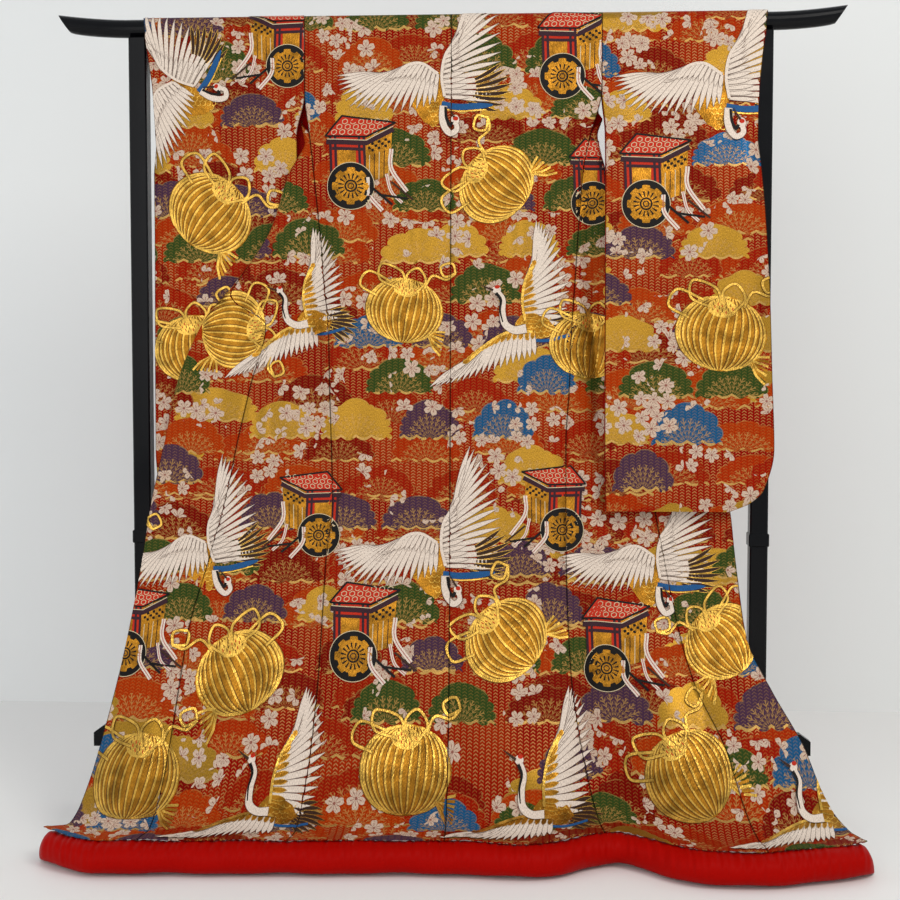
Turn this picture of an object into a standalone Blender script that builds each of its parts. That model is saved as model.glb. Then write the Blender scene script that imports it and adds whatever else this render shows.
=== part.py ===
"""An uchikake wedding kimono hung, back outwards, over the bar of a black lacquer kimono stand.

Metres, +Z up, the outer face of the back towards -Y. The origin is on the floor, under the
middle of the whole object.
"""

import math

import bmesh
import bpy
import numpy as np
from mathutils import Matrix

# The stand
STAND_Y = 0.130  # the plane of the bar and the uprights
BAR_Z = 1.685
BAR_RADIUS = 0.019
BAR_HALF = 0.838
BAR_BEND_FROM = 0.690
BAR_RISE = 0.012
BAR_END_SLANT = 0.026
UPRIGHT_X = 0.664
UPRIGHT_SIDE = 0.038
BAND_Z = 0.592
BAND_HEIGHT = 0.028
BAND_PROUD = 0.0025
RAIL_Z = 0.150
RAIL_HEIGHT = 0.046
RAIL_DEPTH = 0.022
RAIL_HALF = 0.780
FOOT_FRONT = -0.200
FOOT_BACK = 0.246
FOOT_WIDTH = 0.050
FOOT_HEIGHT = 0.050
RAIL_END_CUT = (0.022, 0.016)  # along and down
FOOT_END_CUT = (0.040, 0.020)

# The cloth
WALL = 0.0022
GAP = 0.0003
DRAPE_RADIUS = BAR_RADIUS + 0.0009 + WALL  # clear of the bar between its flats
SEAM_LEVEL = 1.456  # top of the side seams, and foot of the armholes
SLEEVE_SEAM_LEVEL = 1.540
SHOULDER_Z = 1.660  # the shoulder line lies just behind the bar
OKUMI_TOP = 1.400
FOLD_LEVEL = 1.060  # from here up, the front edge is folded in behind
COLLAR_FOOT = 0.750
COLLAR_WIDTH = 0.060
COLLAR_LIFT = 0.0032
COLLAR_GAP = 0.0006  # a little more than a seam, as it goes round the fold
NECK_ROOM = 0.0025
NECK_LEVEL = 1.580
NECK_HALF = 0.095
SLEEVE_FOOT = 0.660
CUFF_LEVEL = 1.440
CUFF_INSIDE_UPRIGHT = 0.640
SLEEVE_CLOSING = 0.030  # over this width the two walls come together at a closed edge

# How the cloth hangs: a level is the height, except that below 0.2 it runs on to the hem at 0
HANG = (
    # level, forward, height
    (0.00, -0.437, 0.0645),
    (0.04, -0.395, 0.0665),
    (0.08, -0.348, 0.0820),
    (0.13, -0.290, 0.1240),
    (0.20, -0.229, 0.2000),
    (0.36, -0.140, 0.3600),
    (0.55, -0.085, 0.5500),
    (0.80, -0.052, 0.8000),
    (1.20, -0.036, 1.2000),
    (1.45, -0.030, 1.4500),
    (1.60, -0.0225, 1.6000),
    (1.66, -DRAPE_RADIUS, 1.6600),
)

# Each side's cut: how far from the middle its seams and edges lie, at each level
CUT = {
    "left": (
        # level, side seam, okumi seam, outer edge, front edge under the fold
        (0.00, 0.280, 0.565, 0.768, 0.768),
        (0.05, 0.272, 0.556, 0.722, 0.722),
        (0.115, 0.270, 0.555, 0.711, 0.711),
        (0.20, 0.265, 0.553, 0.697, 0.697),
        (0.30, 0.262, 0.550, 0.683, 0.683),
        (0.40, 0.260, 0.542, 0.669, 0.669),
        (0.55, 0.254, 0.505, 0.649, 0.649),
        (0.66, 0.242, 0.475, 0.636, 0.636),
        (0.80, 0.245, 0.446, 0.606, 0.606),
        (0.92, 0.249, 0.418, 0.581, 0.581),
        (1.05, 0.252, 0.386, 0.526, 0.521),
        (1.14, 0.262, 0.410, 0.453, 0.351),
        (1.25, 0.272, 0.440, 0.378, 0.195),
        (1.37, 0.283, 0.540, 0.338, 0.118),
        (1.45, 0.292, 0.540, 0.300, 0.100),
        (1.54, 0.303, 0.540, 0.303, 0.095),
        (1.66, 0.303, 0.540, 0.303, 0.095),
    ),
    "right": (
        (0.00, 0.325, 0.622, 0.818, 0.818),
        (0.05, 0.317, 0.612, 0.795, 0.795),
        (0.115, 0.302, 0.595, 0.762, 0.762),
        (0.20, 0.281, 0.570, 0.728, 0.728),
        (0.30, 0.266, 0.520, 0.672, 0.672),
        (0.40, 0.259, 0.490, 0.626, 0.626),
        (0.55, 0.254, 0.460, 0.608, 0.608),
        (0.66, 0.253, 0.440, 0.598, 0.598),
        (0.80, 0.253, 0.420, 0.560, 0.560),
        (0.92, 0.260, 0.400, 0.515, 0.515),
        (1.05, 0.265, 0.385, 0.460, 0.450),
        (1.14, 0.271, 0.420, 0.422, 0.340),
        (1.25, 0.278, 0.450, 0.378, 0.200),
        (1.37, 0.287, 0.540, 0.335, 0.120),
        (1.45, 0.303, 0.540, 0.318, 0.100),
        (1.54, 0.326, 0.540, 0.326, 0.095),
        (1.66, 0.326, 0.540, 0.326, 0.095),
    ),
}
MIDDLE = (
    # level, across: the centre back seam
    (0.00, 0.018),
    (0.40, 0.010),
    (0.80, 0.008),
    (1.66, 0.009),
)
FOLD = (
    # level, radius of the turn at the outer edge
    (0.00, 0.0070),
    (1.30, 0.0070),
    (1.37, 0.0085),
    (1.45, 0.0140),
    (1.54, 0.0205),
    (1.62, 0.0222),
    (1.66, DRAPE_RADIUS),
)

# The sleeves: their outer edge, and the middle and half depth of the bag that they make
SLEEVES = {
    "left": (
        # level, outer edge, inner edge, middle, half depth
        (0.660, 0.560, 0.318, -0.0400, 0.0102),
        (0.676, 0.600, 0.318, -0.0370, 0.0102),
        (0.705, 0.622, 0.318, -0.0330, 0.0102),
        (0.790, 0.631, 0.318, -0.0245, 0.0102),
        (1.000, 0.632, 0.318, -0.0145, 0.0102),
        (1.200, 0.632, 0.320, -0.0068, 0.0102),
        (1.370, 0.633, 0.322, -0.0008, 0.0102),
        (1.450, 0.627, 0.322, -0.0010, 0.0140),
        (1.540, 0.630, 0.303, -0.0020, 0.0205),
        (1.620, 0.640, 0.303, 0.0, 0.0218),
        (1.660, 0.646, 0.303, 0.0, DRAPE_RADIUS),
        (1.700, 0.653, 0.303, 0.0, DRAPE_RADIUS),
    ),
    "right": (
        (0.660, 0.590, 0.335, -0.0965, 0.0102),
        (0.676, 0.631, 0.335, -0.0935, 0.0102),
        (0.705, 0.662, 0.334, -0.0900, 0.0102),
        (0.790, 0.684, 0.333, -0.0800, 0.0102),
        (0.940, 0.679, 0.333, -0.0725, 0.0102),
        (1.100, 0.674, 0.333, -0.0665, 0.0102),
        (1.280, 0.663, 0.333, -0.0610, 0.0105),
        (1.370, 0.656, 0.333, -0.0500, 0.0112),
        (1.450, 0.650, 0.333, -0.0260, 0.0160),
        (1.540, 0.654, 0.326, -0.0060, 0.0205),
        (1.620, 0.661, 0.326, 0.0, 0.0218),
        (1.660, 0.667, 0.326, 0.0, DRAPE_RADIUS),
        (1.700, 0.673, 0.326, 0.0, DRAPE_RADIUS),
    ),
}

# The line of the hem on the floor, seen from above
HEM = (
    # across, front of the roll
    (-0.780, -0.425),
    (-0.745, -0.450),
    (-0.700, -0.482),
    (-0.640, -0.503),
    (-0.450, -0.494),
    (-0.250, -0.484),
    (0.030, -0.470),
    (0.170, -0.481),
    (0.235, -0.464),
    (0.300, -0.414),
    (0.350, -0.393),
    (0.395, -0.422),
    (0.455, -0.474),
    (0.520, -0.503),
    (0.600, -0.506),
    (0.700, -0.479),
    (0.760, -0.460),
    (0.836, -0.425),
)
HEM_NOMINAL = -0.480
HEM_REACH = 0.420  # level at which the hem's line no longer tells
ROLL_DEPTH = 0.086
ROLL_HEIGHT = 0.062
ROLL_ENDS = (-0.776, 0.832)

# The largest folds: ridges towards the viewer, or troughs where the height is negative
FOLDS = (
    # across at top, top level, across at foot, foot level, half width, height
    (-0.215, 1.50, -0.200, 0.50, 0.034, 0.009),
    (-0.330, 1.28, -0.345, 0.72, 0.026, 0.009),
    (-0.400, 1.20, -0.420, 0.66, 0.030, 0.011),
    (0.235, 1.45, 0.228, 0.40, 0.032, 0.009),
    (0.262, 1.00, 0.345, 0.44, 0.030, 0.009),
    (0.305, 0.66, 0.345, 0.12, 0.032, -0.012),
    (-0.345, 0.58, -0.350, 0.04, 0.038, 0.010),
    (-0.270, 0.60, -0.275, 0.04, 0.034, -0.009),
    (-0.120, 0.80, -0.140, 0.04, 0.042, 0.010),
    (0.110, 0.90, 0.125, 0.04, 0.045, 0.011),
    (0.020, 0.70, 0.015, 0.04, 0.040, -0.008),
    (0.420, 0.52, 0.470, 0.04, 0.038, 0.012),
    (0.520, 0.50, 0.545, 0.06, 0.034, -0.009),
    (0.600, 0.46, 0.660, 0.06, 0.038, 0.010),
    (-0.600, 0.52, -0.620, 0.04, 0.038, 0.010),
    (-0.500, 0.60, -0.500, 0.06, 0.034, -0.008),
)


def from_table(table, column, at):
    """The column's value at each level, on a smooth curve through the table's rows."""
    rows = np.array(table, float)
    x = rows[:, 0]
    y = rows[:, column]
    rise = np.diff(y) / np.diff(x)
    # The slope at a row is the harmonic mean of those beside it, or level where they turn
    both = rise[1:] * rise[:-1]
    mean = 2 * both / np.where(both > 0, rise[1:] + rise[:-1], 1)
    slope = np.concatenate([rise[:1], np.where(both > 0, mean, 0), rise[-1:]])
    at = np.clip(np.asarray(at, float), x[0], x[-1])
    i = np.clip(np.searchsorted(x, at, side="right") - 1, 0, len(x) - 2)
    width = x[i + 1] - x[i]
    t = (at - x[i]) / width
    # A cubic through both rows, with the slopes of their neighbours
    a = y[i] * (1 + 2 * t) * (1 - t) ** 2 + y[i + 1] * t * t * (3 - 2 * t)
    b = slope[i] * width * t * (1 - t) ** 2 - slope[i + 1] * width * t * t * (1 - t)
    return a + b


def ease(value, low, high):
    """0 below low, 1 above high, and a smooth step between them."""
    t = np.clip((value - low) / (high - low), 0, 1)
    return t * t * (3 - 2 * t)


def fold_relief(across, level):
    """How far the largest folds push the cloth forward: a bell across each, faded at its ends."""
    total = 0.0
    for top_x, top, foot_x, foot, half, height in FOLDS:
        along = (level - foot) / (top - foot)
        middle = foot_x + (top_x - foot_x) * np.clip(along, 0, 1)
        fade = ease(along, -0.05, 0.25) * (1 - ease(along, 0.65, 1.0))
        total = total + height * fade * np.exp(-(((across - middle) / half) ** 2))
    return total


def hung(across, level, behind=0.0):
    """The point of the hanging cloth at a level: the hang's curve, the folds and the hem's line."""
    forward = from_table(HANG, 1, level)
    height = from_table(HANG, 2, level)
    low = 1 - ease(level, 0.02, HEM_REACH)
    pushed = (from_table(HEM, 1, across) - HEM_NOMINAL) * low
    relief = fold_relief(across, level)
    steep = ease(level, 0.05, 0.30)
    y = STAND_Y + forward + pushed + behind - relief * (0.3 + 0.7 * steep)
    z = height + relief * (1 - steep) * 0.7 * ease(level, 0.0, 0.05)
    return np.stack(np.broadcast_arrays(across, y, z), axis=-1)


def front_measures(side, level):
    """The side's turn radius, straight run, start and whole width of its front, at each level."""
    seam = from_table(CUT[side], 1, level)
    edge = from_table(CUT[side], 3, level)
    under = from_table(CUT[side], 4, level)
    # Round the neck the front edge follows the collar's arch
    rise = np.clip((level - NECK_LEVEL) / (SHOULDER_Z - NECK_LEVEL), 0, 0.9995)
    arch = NECK_HALF * np.sqrt(1 - rise**2) + NECK_ROOM * ease(rise, 0, 0.25)
    under = np.where(level > NECK_LEVEL, arch, under)
    radius = from_table(FOLD, 1, level)
    straight = np.maximum(edge - seam - radius, 0)
    # Low down the edge only curls; higher up it turns right back, and runs in behind
    curl = 1 + (math.pi - 1) * np.clip((level - COLLAR_FOOT) / (FOLD_LEVEL - COLLAR_FOOT), 0, 1)
    back = np.where(level > FOLD_LEVEL - 0.05, np.maximum(straight + seam - under, 0), 0)
    start = (straight + math.pi * radius) * ease(level, SEAM_LEVEL - 0.004, SEAM_LEVEL + 0.05)
    width = straight + radius * curl + back
    return seam, radius, straight, start, width


def front_path(side, along, level):
    """The cloth of a front at a distance along its row, out from the side seam.

    It runs straight out to the fold, turns back round a half circle and comes in behind itself.
    """
    sign = -1 if side == "left" else 1
    seam, radius, straight, start, width = front_measures(side, level)
    turned = along - straight
    angle = np.clip(turned / radius, 0, math.pi)
    back = np.maximum(turned - math.pi * radius, 0)
    out = seam + np.minimum(along, straight) + radius * np.sin(angle) - back
    curl = ease(level, 0.50, 0.62)
    out = np.where(turned > 0, out * curl + (seam + along) * (1 - curl), out)
    behind = radius * (1 - np.cos(angle)) * curl
    return hung(sign * out, level, behind)


def over_bar(across, distance):
    """Cloth over the bar: down the front for negative distances, over it, and down the back."""
    half = math.pi * DRAPE_RADIUS / 2
    angle = np.clip(distance / DRAPE_RADIUS, -math.pi / 2, math.pi / 2)
    y = STAND_Y + DRAPE_RADIUS * np.sin(angle)
    z = BAR_Z + DRAPE_RADIUS * np.cos(angle) - np.maximum(np.abs(distance) - half, 0)
    return np.stack(np.broadcast_arrays(across, y, z), axis=-1)


def back_panel(side):
    """A back panel as a function of its share across and its run up from the hem."""
    sign = -1 if side == "left" else 1
    half = math.pi * DRAPE_RADIUS / 2
    lead = half + BAR_Z - SHOULDER_Z

    def surface(share, run):
        level = np.minimum(run, SHOULDER_Z)
        seam = from_table(CUT[side], 1, level) - GAP / 2
        middle = from_table(MIDDLE, 1, level) + sign * GAP / 2
        across = middle + (sign * seam - middle) * share
        low = hung(across, level)
        high = over_bar(across, run - SHOULDER_Z - lead)
        return np.where((run > SHOULDER_Z)[..., None], high, low)

    return surface, lead


def along_row(side, share, level, first, last):
    """The distance along the row for a share of a strip of it.

    Half the strip's share is kept for the straight run and a quarter for the turn, wherever
    they lie in it, so that the turn stays round.
    """
    seam, radius, straight, start, width = front_measures(side, level)
    least = np.minimum(0.010, (last - first) / 5)
    before = np.clip(straight, first + least, last - 2 * least)
    after = np.clip(straight + math.pi * radius, before + 0.8 * least, last - least)
    straight_part = first + (before - first) * share / 0.5
    turn_part = before + (after - before) * (share - 0.5) / 0.25
    under_part = after + (last - after) * (share - 0.75) / 0.25
    result = np.where(share > 0.5, turn_part, straight_part)
    return np.where(share > 0.75, under_part, result)


def front_piece(side, first, last):
    """A strip of the front's row, between two functions of the level."""

    def surface(share, level):
        along = along_row(side, share, level, first(side, level), last(side, level))
        return front_path(side, along, level)

    return surface


def front_start(side, level):
    return front_measures(side, level)[3] + GAP / 2


def okumi_seam(side, level):
    """Where the okumi begins along the row: its seam, or the front's whole width above its top."""
    seam = from_table(CUT[side], 1, level)
    okumi = from_table(CUT[side], 2, level) - seam
    # Higher up it runs along the folded edge and round it, to end in a point at the collar
    _, radius, straight, _, width = front_measures(side, level)
    folded = straight + math.pi * radius * np.clip((level - 1.12) / (1.28 - 1.12), 0, 1)
    okumi = okumi + (folded - okumi) * ease(level, 1.05, 1.13)
    tip = width - 0.004
    okumi = okumi + (tip - okumi) * ease(level, 1.26, OKUMI_TOP)
    return np.minimum(okumi, tip)


def front_end(side, level):
    width = front_measures(side, level)[4]
    return np.where(level > OKUMI_TOP, width, okumi_seam(side, level)) - GAP / 2


def okumi_start(side, level):
    return okumi_seam(side, level) + GAP / 2


def okumi_end(side, level):
    return front_measures(side, level)[4] - GAP / 2


def collar_strip(side, share, level):
    """The collar's leg beside a front edge: it goes on along the same row."""
    width = front_measures(side, level)[4]
    along = along_row(side, share, level, width + COLLAR_GAP, width + COLLAR_WIDTH)
    return front_path(side, along, level)


def collar_surface(share, run):
    """The whole collar: up the left leg, round the neck behind the bar and down the right leg.

    From -1 to 1 the run is the arch, and past that it is how far down a leg it goes, in metres.
    """
    level = NECK_LEVEL + 1 - np.abs(run)
    left = collar_strip("left", share, level)
    right = collar_strip("right", share, level)
    angle = (1 - np.clip(run, -1, 1)) * math.pi / 2
    across = NECK_HALF - GAP / 2 - (COLLAR_WIDTH - GAP / 2) * share
    up = SHOULDER_Z - NECK_LEVEL - 0.0010 - (COLLAR_WIDTH - 0.0050) * share
    height = NECK_LEVEL + up * np.sin(angle)
    behind = 2 * from_table(FOLD, 1, height) + from_table(HANG, 1, height)
    x = across * np.cos(angle)
    # Round the neck it lies just outside the fronts
    y = STAND_Y + behind - fold_relief(x, height) + COLLAR_LIFT * np.sin(angle)
    arch = np.stack(np.broadcast_arrays(x, y, height), axis=-1)
    result = np.where((run < -1)[..., None], left, arch)
    return np.where((run > 1)[..., None], right, result)


def sleeve_surface(side):
    """A sleeve as one cloth: up its front wall, over the bar and down its rear wall."""
    sign = -1 if side == "left" else 1
    table = SLEEVES[side]
    half = math.pi * DRAPE_RADIUS / 2
    lead = half + BAR_Z - SHOULDER_Z
    height = SHOULDER_Z - SLEEVE_FOOT

    def surface(share, run):
        # The run is 0 at the top of the bar, and negative down the front
        rear = run > 0
        down = np.maximum(np.abs(run) - lead, 0)
        level = SHOULDER_Z - np.minimum(down, height)
        top = np.maximum(level, BAR_Z + 0.015 - np.abs(run))
        outer = from_table(table, 1, top)
        outer = np.where(rear & (level > 1.40), np.minimum(outer, CUFF_INSIDE_UPRIGHT), outer)
        inner = from_table(table, 2, level)
        seam = from_table(CUT[side], 1, level)
        inner = np.where(level >= SLEEVE_SEAM_LEVEL - 1e-6, seam, inner) + GAP / 2
        across = inner + (outer - inner) * share
        depth = from_table(table, 4, level)
        # The walls meet at the foot, and at the outer edge below the cuff
        from_edge = (1 - share) * (outer - inner)
        from_foot = level - SLEEVE_FOOT
        closed_edge = 1 - ease(level, CUFF_LEVEL - 0.02, CUFF_LEVEL + 0.02)
        shut = (1 - ease(from_edge, -0.012, SLEEVE_CLOSING)) * closed_edge
        shut = np.maximum(shut, 1 - ease(from_foot, -0.012, SLEEVE_CLOSING))
        least = WALL + 0.0010
        depth = depth + (least - depth) * np.clip(shut * 1.25, 0, 1)
        y = STAND_Y + from_table(table, 3, level) + np.where(rear, depth, -depth)
        walls = np.stack(np.broadcast_arrays(sign * across, y, level), axis=-1)
        return np.where((np.abs(run) < lead)[..., None], over_bar(sign * across, run), walls)

    return surface, lead, height


def normals(surface, u, v, flip):
    """Unit normals of a surface of two parameters, from small steps along both."""
    step = 2e-4
    du = surface(u + step, v) - surface(u - step, v)
    dv = surface(u, v + step) - surface(u, v - step)
    n = np.cross(du, dv)
    n = n / np.maximum(np.linalg.norm(n, axis=-1, keepdims=True), 1e-12)
    return -n if flip else n


def finish(name, mesh_points, faces, material):
    """One closed mesh object with its material."""
    mesh = bpy.data.meshes.new(name)
    mesh.from_pydata(mesh_points, [], faces)
    mesh.update()
    obj = bpy.data.objects.new(name, mesh)
    bpy.context.scene.collection.objects.link(obj)
    mesh.materials.append(material)
    mesh.shade_smooth()
    mesh.set_sharp_from_angle(angle=math.radians(40))
    return obj


def sheet(name, surface, u, v, material, flip=False):
    """A wall of cloth: the surface on a grid, the same moved in by the wall, and four edges."""
    uu, vv = np.meshgrid(np.asarray(u, float), np.asarray(v, float), indexing="ij")
    outer = surface(uu, vv)
    inner = outer - WALL * normals(surface, uu, vv, flip)
    m, n = uu.shape
    index = np.arange(m * n).reshape(m, n)
    a = index[:-1, :-1].ravel()
    b = index[1:, :-1].ravel()
    c = index[1:, 1:].ravel()
    d = index[:-1, 1:].ravel()
    # Both faces of the wall are cut along the same diagonal
    front = np.concatenate([np.stack([a, b, c], axis=1), np.stack([a, c, d], axis=1)])
    rim = np.concatenate([index[:-1, 0], index[-1, :-1], index[:0:-1, -1], index[0, :0:-1]])
    after = np.roll(rim, -1)
    low = np.minimum(rim, after)
    high = np.maximum(rim, after)
    back = front[:, ::-1] + m * n
    # So are the seam edges of neighbours, from the wall's inside below to its outside above
    edge = np.stack([after, rim, low + m * n], axis=1)
    edge_too = np.stack([high, rim + m * n, after + m * n], axis=1)
    triangles = np.concatenate([front, back, edge, edge_too])
    if flip:
        triangles = triangles[:, ::-1]
    points = np.concatenate([outer.reshape(-1, 3), inner.reshape(-1, 3)])
    return finish(name, points.tolist(), triangles.tolist(), material)


def paint(name, colour, roughness, metallic=0.0):
    material = bpy.data.materials.new(name)
    material.use_nodes = True
    shader = material.node_tree.nodes["Principled BSDF"]
    shader.inputs["Base Color"].default_value = (*colour, 1.0)
    shader.inputs["Roughness"].default_value = roughness
    shader.inputs["Metallic"].default_value = metallic
    return material


def beam(name, size, centre, material, chamfer=0.003):
    """A straight wooden member with all its edges taken off."""
    mesh = bpy.data.meshes.new(name)
    work = bmesh.new()
    place = Matrix.Translation(centre) @ Matrix.Diagonal((*size, 1.0))
    bmesh.ops.create_cube(work, size=1.0, matrix=place)
    bmesh.ops.bevel(work, geom=work.edges[:], offset=chamfer, segments=1, affect="EDGES")
    work.to_mesh(mesh)
    work.free()
    obj = bpy.data.objects.new(name, mesh)
    bpy.context.scene.collection.objects.link(obj)
    mesh.materials.append(material)
    return obj


def tube_faces(rings, sides):
    """The faces of a closed tube: rings of points that run from +Y to +Z, one after another in X."""
    faces = []
    for i in range(rings - 1):
        for j in range(sides):
            k = (j + 1) % sides
            faces.append([i * sides + k, (i + 1) * sides + k, (i + 1) * sides + j, i * sides + j])
    faces.append(list(range(sides))[::-1])
    faces.append([(rings - 1) * sides + j for j in range(sides)])
    return faces


def top_bar(material):
    """The round bar: level between the uprights, swept up a little at its slant-cut ends."""
    sides = 20
    x = np.concatenate(
        [
            np.linspace(-BAR_HALF, -BAR_BEND_FROM, 8),
            np.linspace(-0.5, 0.5, 5),
            np.linspace(BAR_BEND_FROM, BAR_HALF, 8),
        ]
    )
    angle = np.linspace(0, 2 * math.pi, sides, endpoint=False)
    bent = np.clip((np.abs(x) - BAR_BEND_FROM) / (BAR_HALF - BAR_BEND_FROM), 0, 1)
    middle = BAR_Z + BAR_RISE * bent**1.6
    xx, aa = np.meshgrid(x, angle, indexing="ij")
    # The end faces lean: their lower side stops short of the upper one
    lean = np.sign(xx) * BAR_END_SLANT * bent[:, None] ** 4 * (1 - np.sin(aa)) / 2
    points = np.stack(
        [
            xx - lean,
            STAND_Y + BAR_RADIUS * np.cos(aa),
            middle[:, None] + BAR_RADIUS * np.sin(aa),
        ],
        axis=-1,
    ).reshape(-1, 3)
    return finish("top_bar", points.tolist(), tube_faces(len(x), sides), material)


def upright(name, x, material):
    """A square post with a joint band, cut through for the lower rail."""
    foot = FOOT_HEIGHT + GAP
    top = BAR_Z - BAR_RADIUS - GAP
    size = (UPRIGHT_SIDE, UPRIGHT_SIDE, top - foot)
    post = beam(name, size, (x, STAND_Y, (top + foot) / 2), material)
    side = UPRIGHT_SIDE + 2 * BAND_PROUD
    band = beam(name + "_band", (side, side, BAND_HEIGHT), (x, STAND_Y, BAND_Z), material, 0.002)
    slot = beam(
        name + "_slot",
        (0.2, RAIL_DEPTH + 2 * GAP, RAIL_HEIGHT + 2 * GAP),
        (x, STAND_Y, RAIL_Z),
        material,
        0.0001,
    )
    for tool, action in ((band, "UNION"), (slot, "DIFFERENCE")):
        tool.hide_render = True
        tool.display_type = "WIRE"
        cut = post.modifiers.new(tool.name, "BOOLEAN")
        cut.operation = action
        cut.solver = "EXACT"
        cut.object = tool
    return post


def lower_rail(material):
    """The rail through both posts, its ends cut away above."""
    half_z = RAIL_HEIGHT / 2
    along, down = RAIL_END_CUT
    outline = [
        (-RAIL_HALF, -half_z),
        (RAIL_HALF, -half_z),
        (RAIL_HALF, half_z - down),
        (RAIL_HALF - along, half_z),
        (-RAIL_HALF + along, half_z),
        (-RAIL_HALF, half_z - down),
    ]
    count = len(outline)
    points = []
    for y in (-RAIL_DEPTH / 2, RAIL_DEPTH / 2):
        points += [(x, STAND_Y + y, RAIL_Z + z) for x, z in outline]
    faces = [list(range(count)), list(range(2 * count - 1, count - 1, -1))]
    for i in range(count):
        k = (i + 1) % count
        faces.append([k, i, i + count, k + count])
    return finish("lower_rail", points, faces, material)


def foot(name, x, material):
    """A beam from front to back under a post, its ends cut away above."""
    front = STAND_Y + FOOT_FRONT
    back = STAND_Y + FOOT_BACK
    along, down = FOOT_END_CUT
    outline = [
        (front, 0.0),
        (back, 0.0),
        (back, FOOT_HEIGHT - down),
        (back - along, FOOT_HEIGHT),
        (front + along, FOOT_HEIGHT),
        (front, FOOT_HEIGHT - down),
    ]
    count = len(outline)
    points = []
    for dx in (FOOT_WIDTH / 2, -FOOT_WIDTH / 2):
        points += [(x + dx, y, z) for y, z in outline]
    faces = [list(range(count)), list(range(2 * count - 1, count - 1, -1))]
    for i in range(count):
        k = (i + 1) % count
        faces.append([k, i, i + count, k + count])
    return finish(name, points, faces, material)


def hem_roll(material):
    """The padded roll along the hem: an oval carried along the hem's line, closed at its ends."""
    sides = 12
    rings = 48
    first, last = ROLL_ENDS
    even = np.linspace(0, 1, rings)
    share = 0.35 * (1 - np.cos(math.pi * even)) / 2 + 0.65 * even
    x = first + (last - first) * share
    from_end = np.minimum(x - first, last - x)
    swell = np.sqrt(np.clip(1 - (1 - np.clip(from_end / 0.030, 0.02, 1)) ** 2, 0.04, 1))
    middle = STAND_Y + from_table(HEM, 1, x) + ROLL_DEPTH / 2
    angle = np.linspace(0, 2 * math.pi, sides, endpoint=False)
    half_y = ROLL_DEPTH / 2 * swell
    half_z = ROLL_HEIGHT / 2 * swell
    xx, aa = np.meshgrid(x, angle, indexing="ij")
    # A slightly squared oval, lying flat on the floor
    c = np.sign(np.cos(aa)) * np.abs(np.cos(aa)) ** 0.85
    s = np.sign(np.sin(aa)) * np.abs(np.sin(aa)) ** 0.90
    points = np.stack(
        [xx, middle[:, None] + half_y[:, None] * c, half_z[:, None] * (1 + s)], axis=-1
    ).reshape(-1, 3)
    return finish("hem_roll", points.tolist(), tube_faces(len(x), sides), material)


def levels(*stretches):
    """Levels for a grid: each stretch is a start, an end and a number of steps."""
    parts = [np.linspace(a, b, n, endpoint=False) for a, b, n in stretches]
    return np.append(np.concatenate(parts), stretches[-1][1])


def build():
    for obj in list(bpy.data.objects):
        bpy.data.objects.remove(obj, do_unlink=True)
    lacquer = paint("black lacquer", (0.010, 0.009, 0.010), 0.25)
    brocade = paint("red brocade", (0.55, 0.05, 0.015), 0.55)
    lining = paint("red lining silk", (0.60, 0.02, 0.010), 0.50)

    top_bar(lacquer)
    lower_rail(lacquer)
    for name, sign in (("left", -1), ("right", 1)):
        upright("upright_" + name, sign * UPRIGHT_X, lacquer)
        foot("foot_" + name, sign * UPRIGHT_X, lacquer)

    lower = levels((0.0, 0.24, 5), (0.24, 0.60, 4), (0.60, COLLAR_FOOT, 1), (COLLAR_FOOT, 1.08, 5))
    upper = levels((1.08, 1.28, 9), (1.28, OKUMI_TOP, 4), (OKUMI_TOP, SEAM_LEVEL, 2), (SEAM_LEVEL, 1.51, 3))
    top = levels((1.51, SLEEVE_SEAM_LEVEL, 1), (SLEEVE_SEAM_LEVEL, NECK_LEVEL, 1), (NECK_LEVEL, 1.66, 3))
    rows = np.concatenate([lower[:-1], upper[:-1], top])
    strip = np.concatenate([np.linspace(0, 0.5, 7), np.linspace(0.5, 0.75, 4)[1:], (0.87, 1.0)])
    narrow = np.concatenate([np.linspace(0, 0.5, 4), np.linspace(0.5, 0.75, 4)[1:], (0.87, 1.0)])
    for name in ("left", "right"):
        right = name == "right"
        surface, lead = back_panel(name)
        over = lead + np.linspace(-math.pi / 2, math.pi / 2, 9) * DRAPE_RADIUS
        run = np.concatenate([rows, SHOULDER_Z + over, [SHOULDER_Z + 2 * lead - GAP]])
        sheet("back_" + name, surface, np.linspace(0, 1, 9), run, brocade, flip=not right)

        surface = front_piece(name, front_start, front_end)
        front_rows = np.append(rows[:-1], SHOULDER_Z - GAP)
        sheet("front_" + name, surface, strip, front_rows, brocade, flip=not right)

        surface = front_piece(name, okumi_start, okumi_end)
        okumi_rows = rows[rows <= OKUMI_TOP + 1e-6]
        sheet("okumi_" + name, surface, narrow, okumi_rows, brocade, flip=not right)

        surface, lead, height = sleeve_surface(name)
        low = levels((SLEEVE_FOOT, 0.720, 4), (0.720, 1.30, 5), (1.30, SEAM_LEVEL, 3))
        up = rows[rows > SEAM_LEVEL + 0.02]
        run = lead + SHOULDER_Z - np.concatenate([low, up])
        run = np.concatenate([run, np.linspace(math.pi / 2, 0, 5) * DRAPE_RADIUS])
        run = np.concatenate([-run, run[-2::-1]])
        u = 1 - (1 - np.linspace(0, 1, 8)) ** 1.5
        sheet("sleeve_" + name, surface, u, run, brocade, flip=not right)

    legs = rows[(rows >= COLLAR_FOOT - 1e-6) & (rows < NECK_LEVEL - 1e-6)]
    down = 1 + NECK_LEVEL - legs
    run = np.concatenate([-down, np.linspace(-1, 1, 17), down[::-1]])
    band = np.linspace(0, 1, 9)[[0, 2, 4, 5, 6, 8]]
    sheet("collar", collar_surface, band, run, brocade, flip=True)
    hem_roll(lining)


build()
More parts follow.
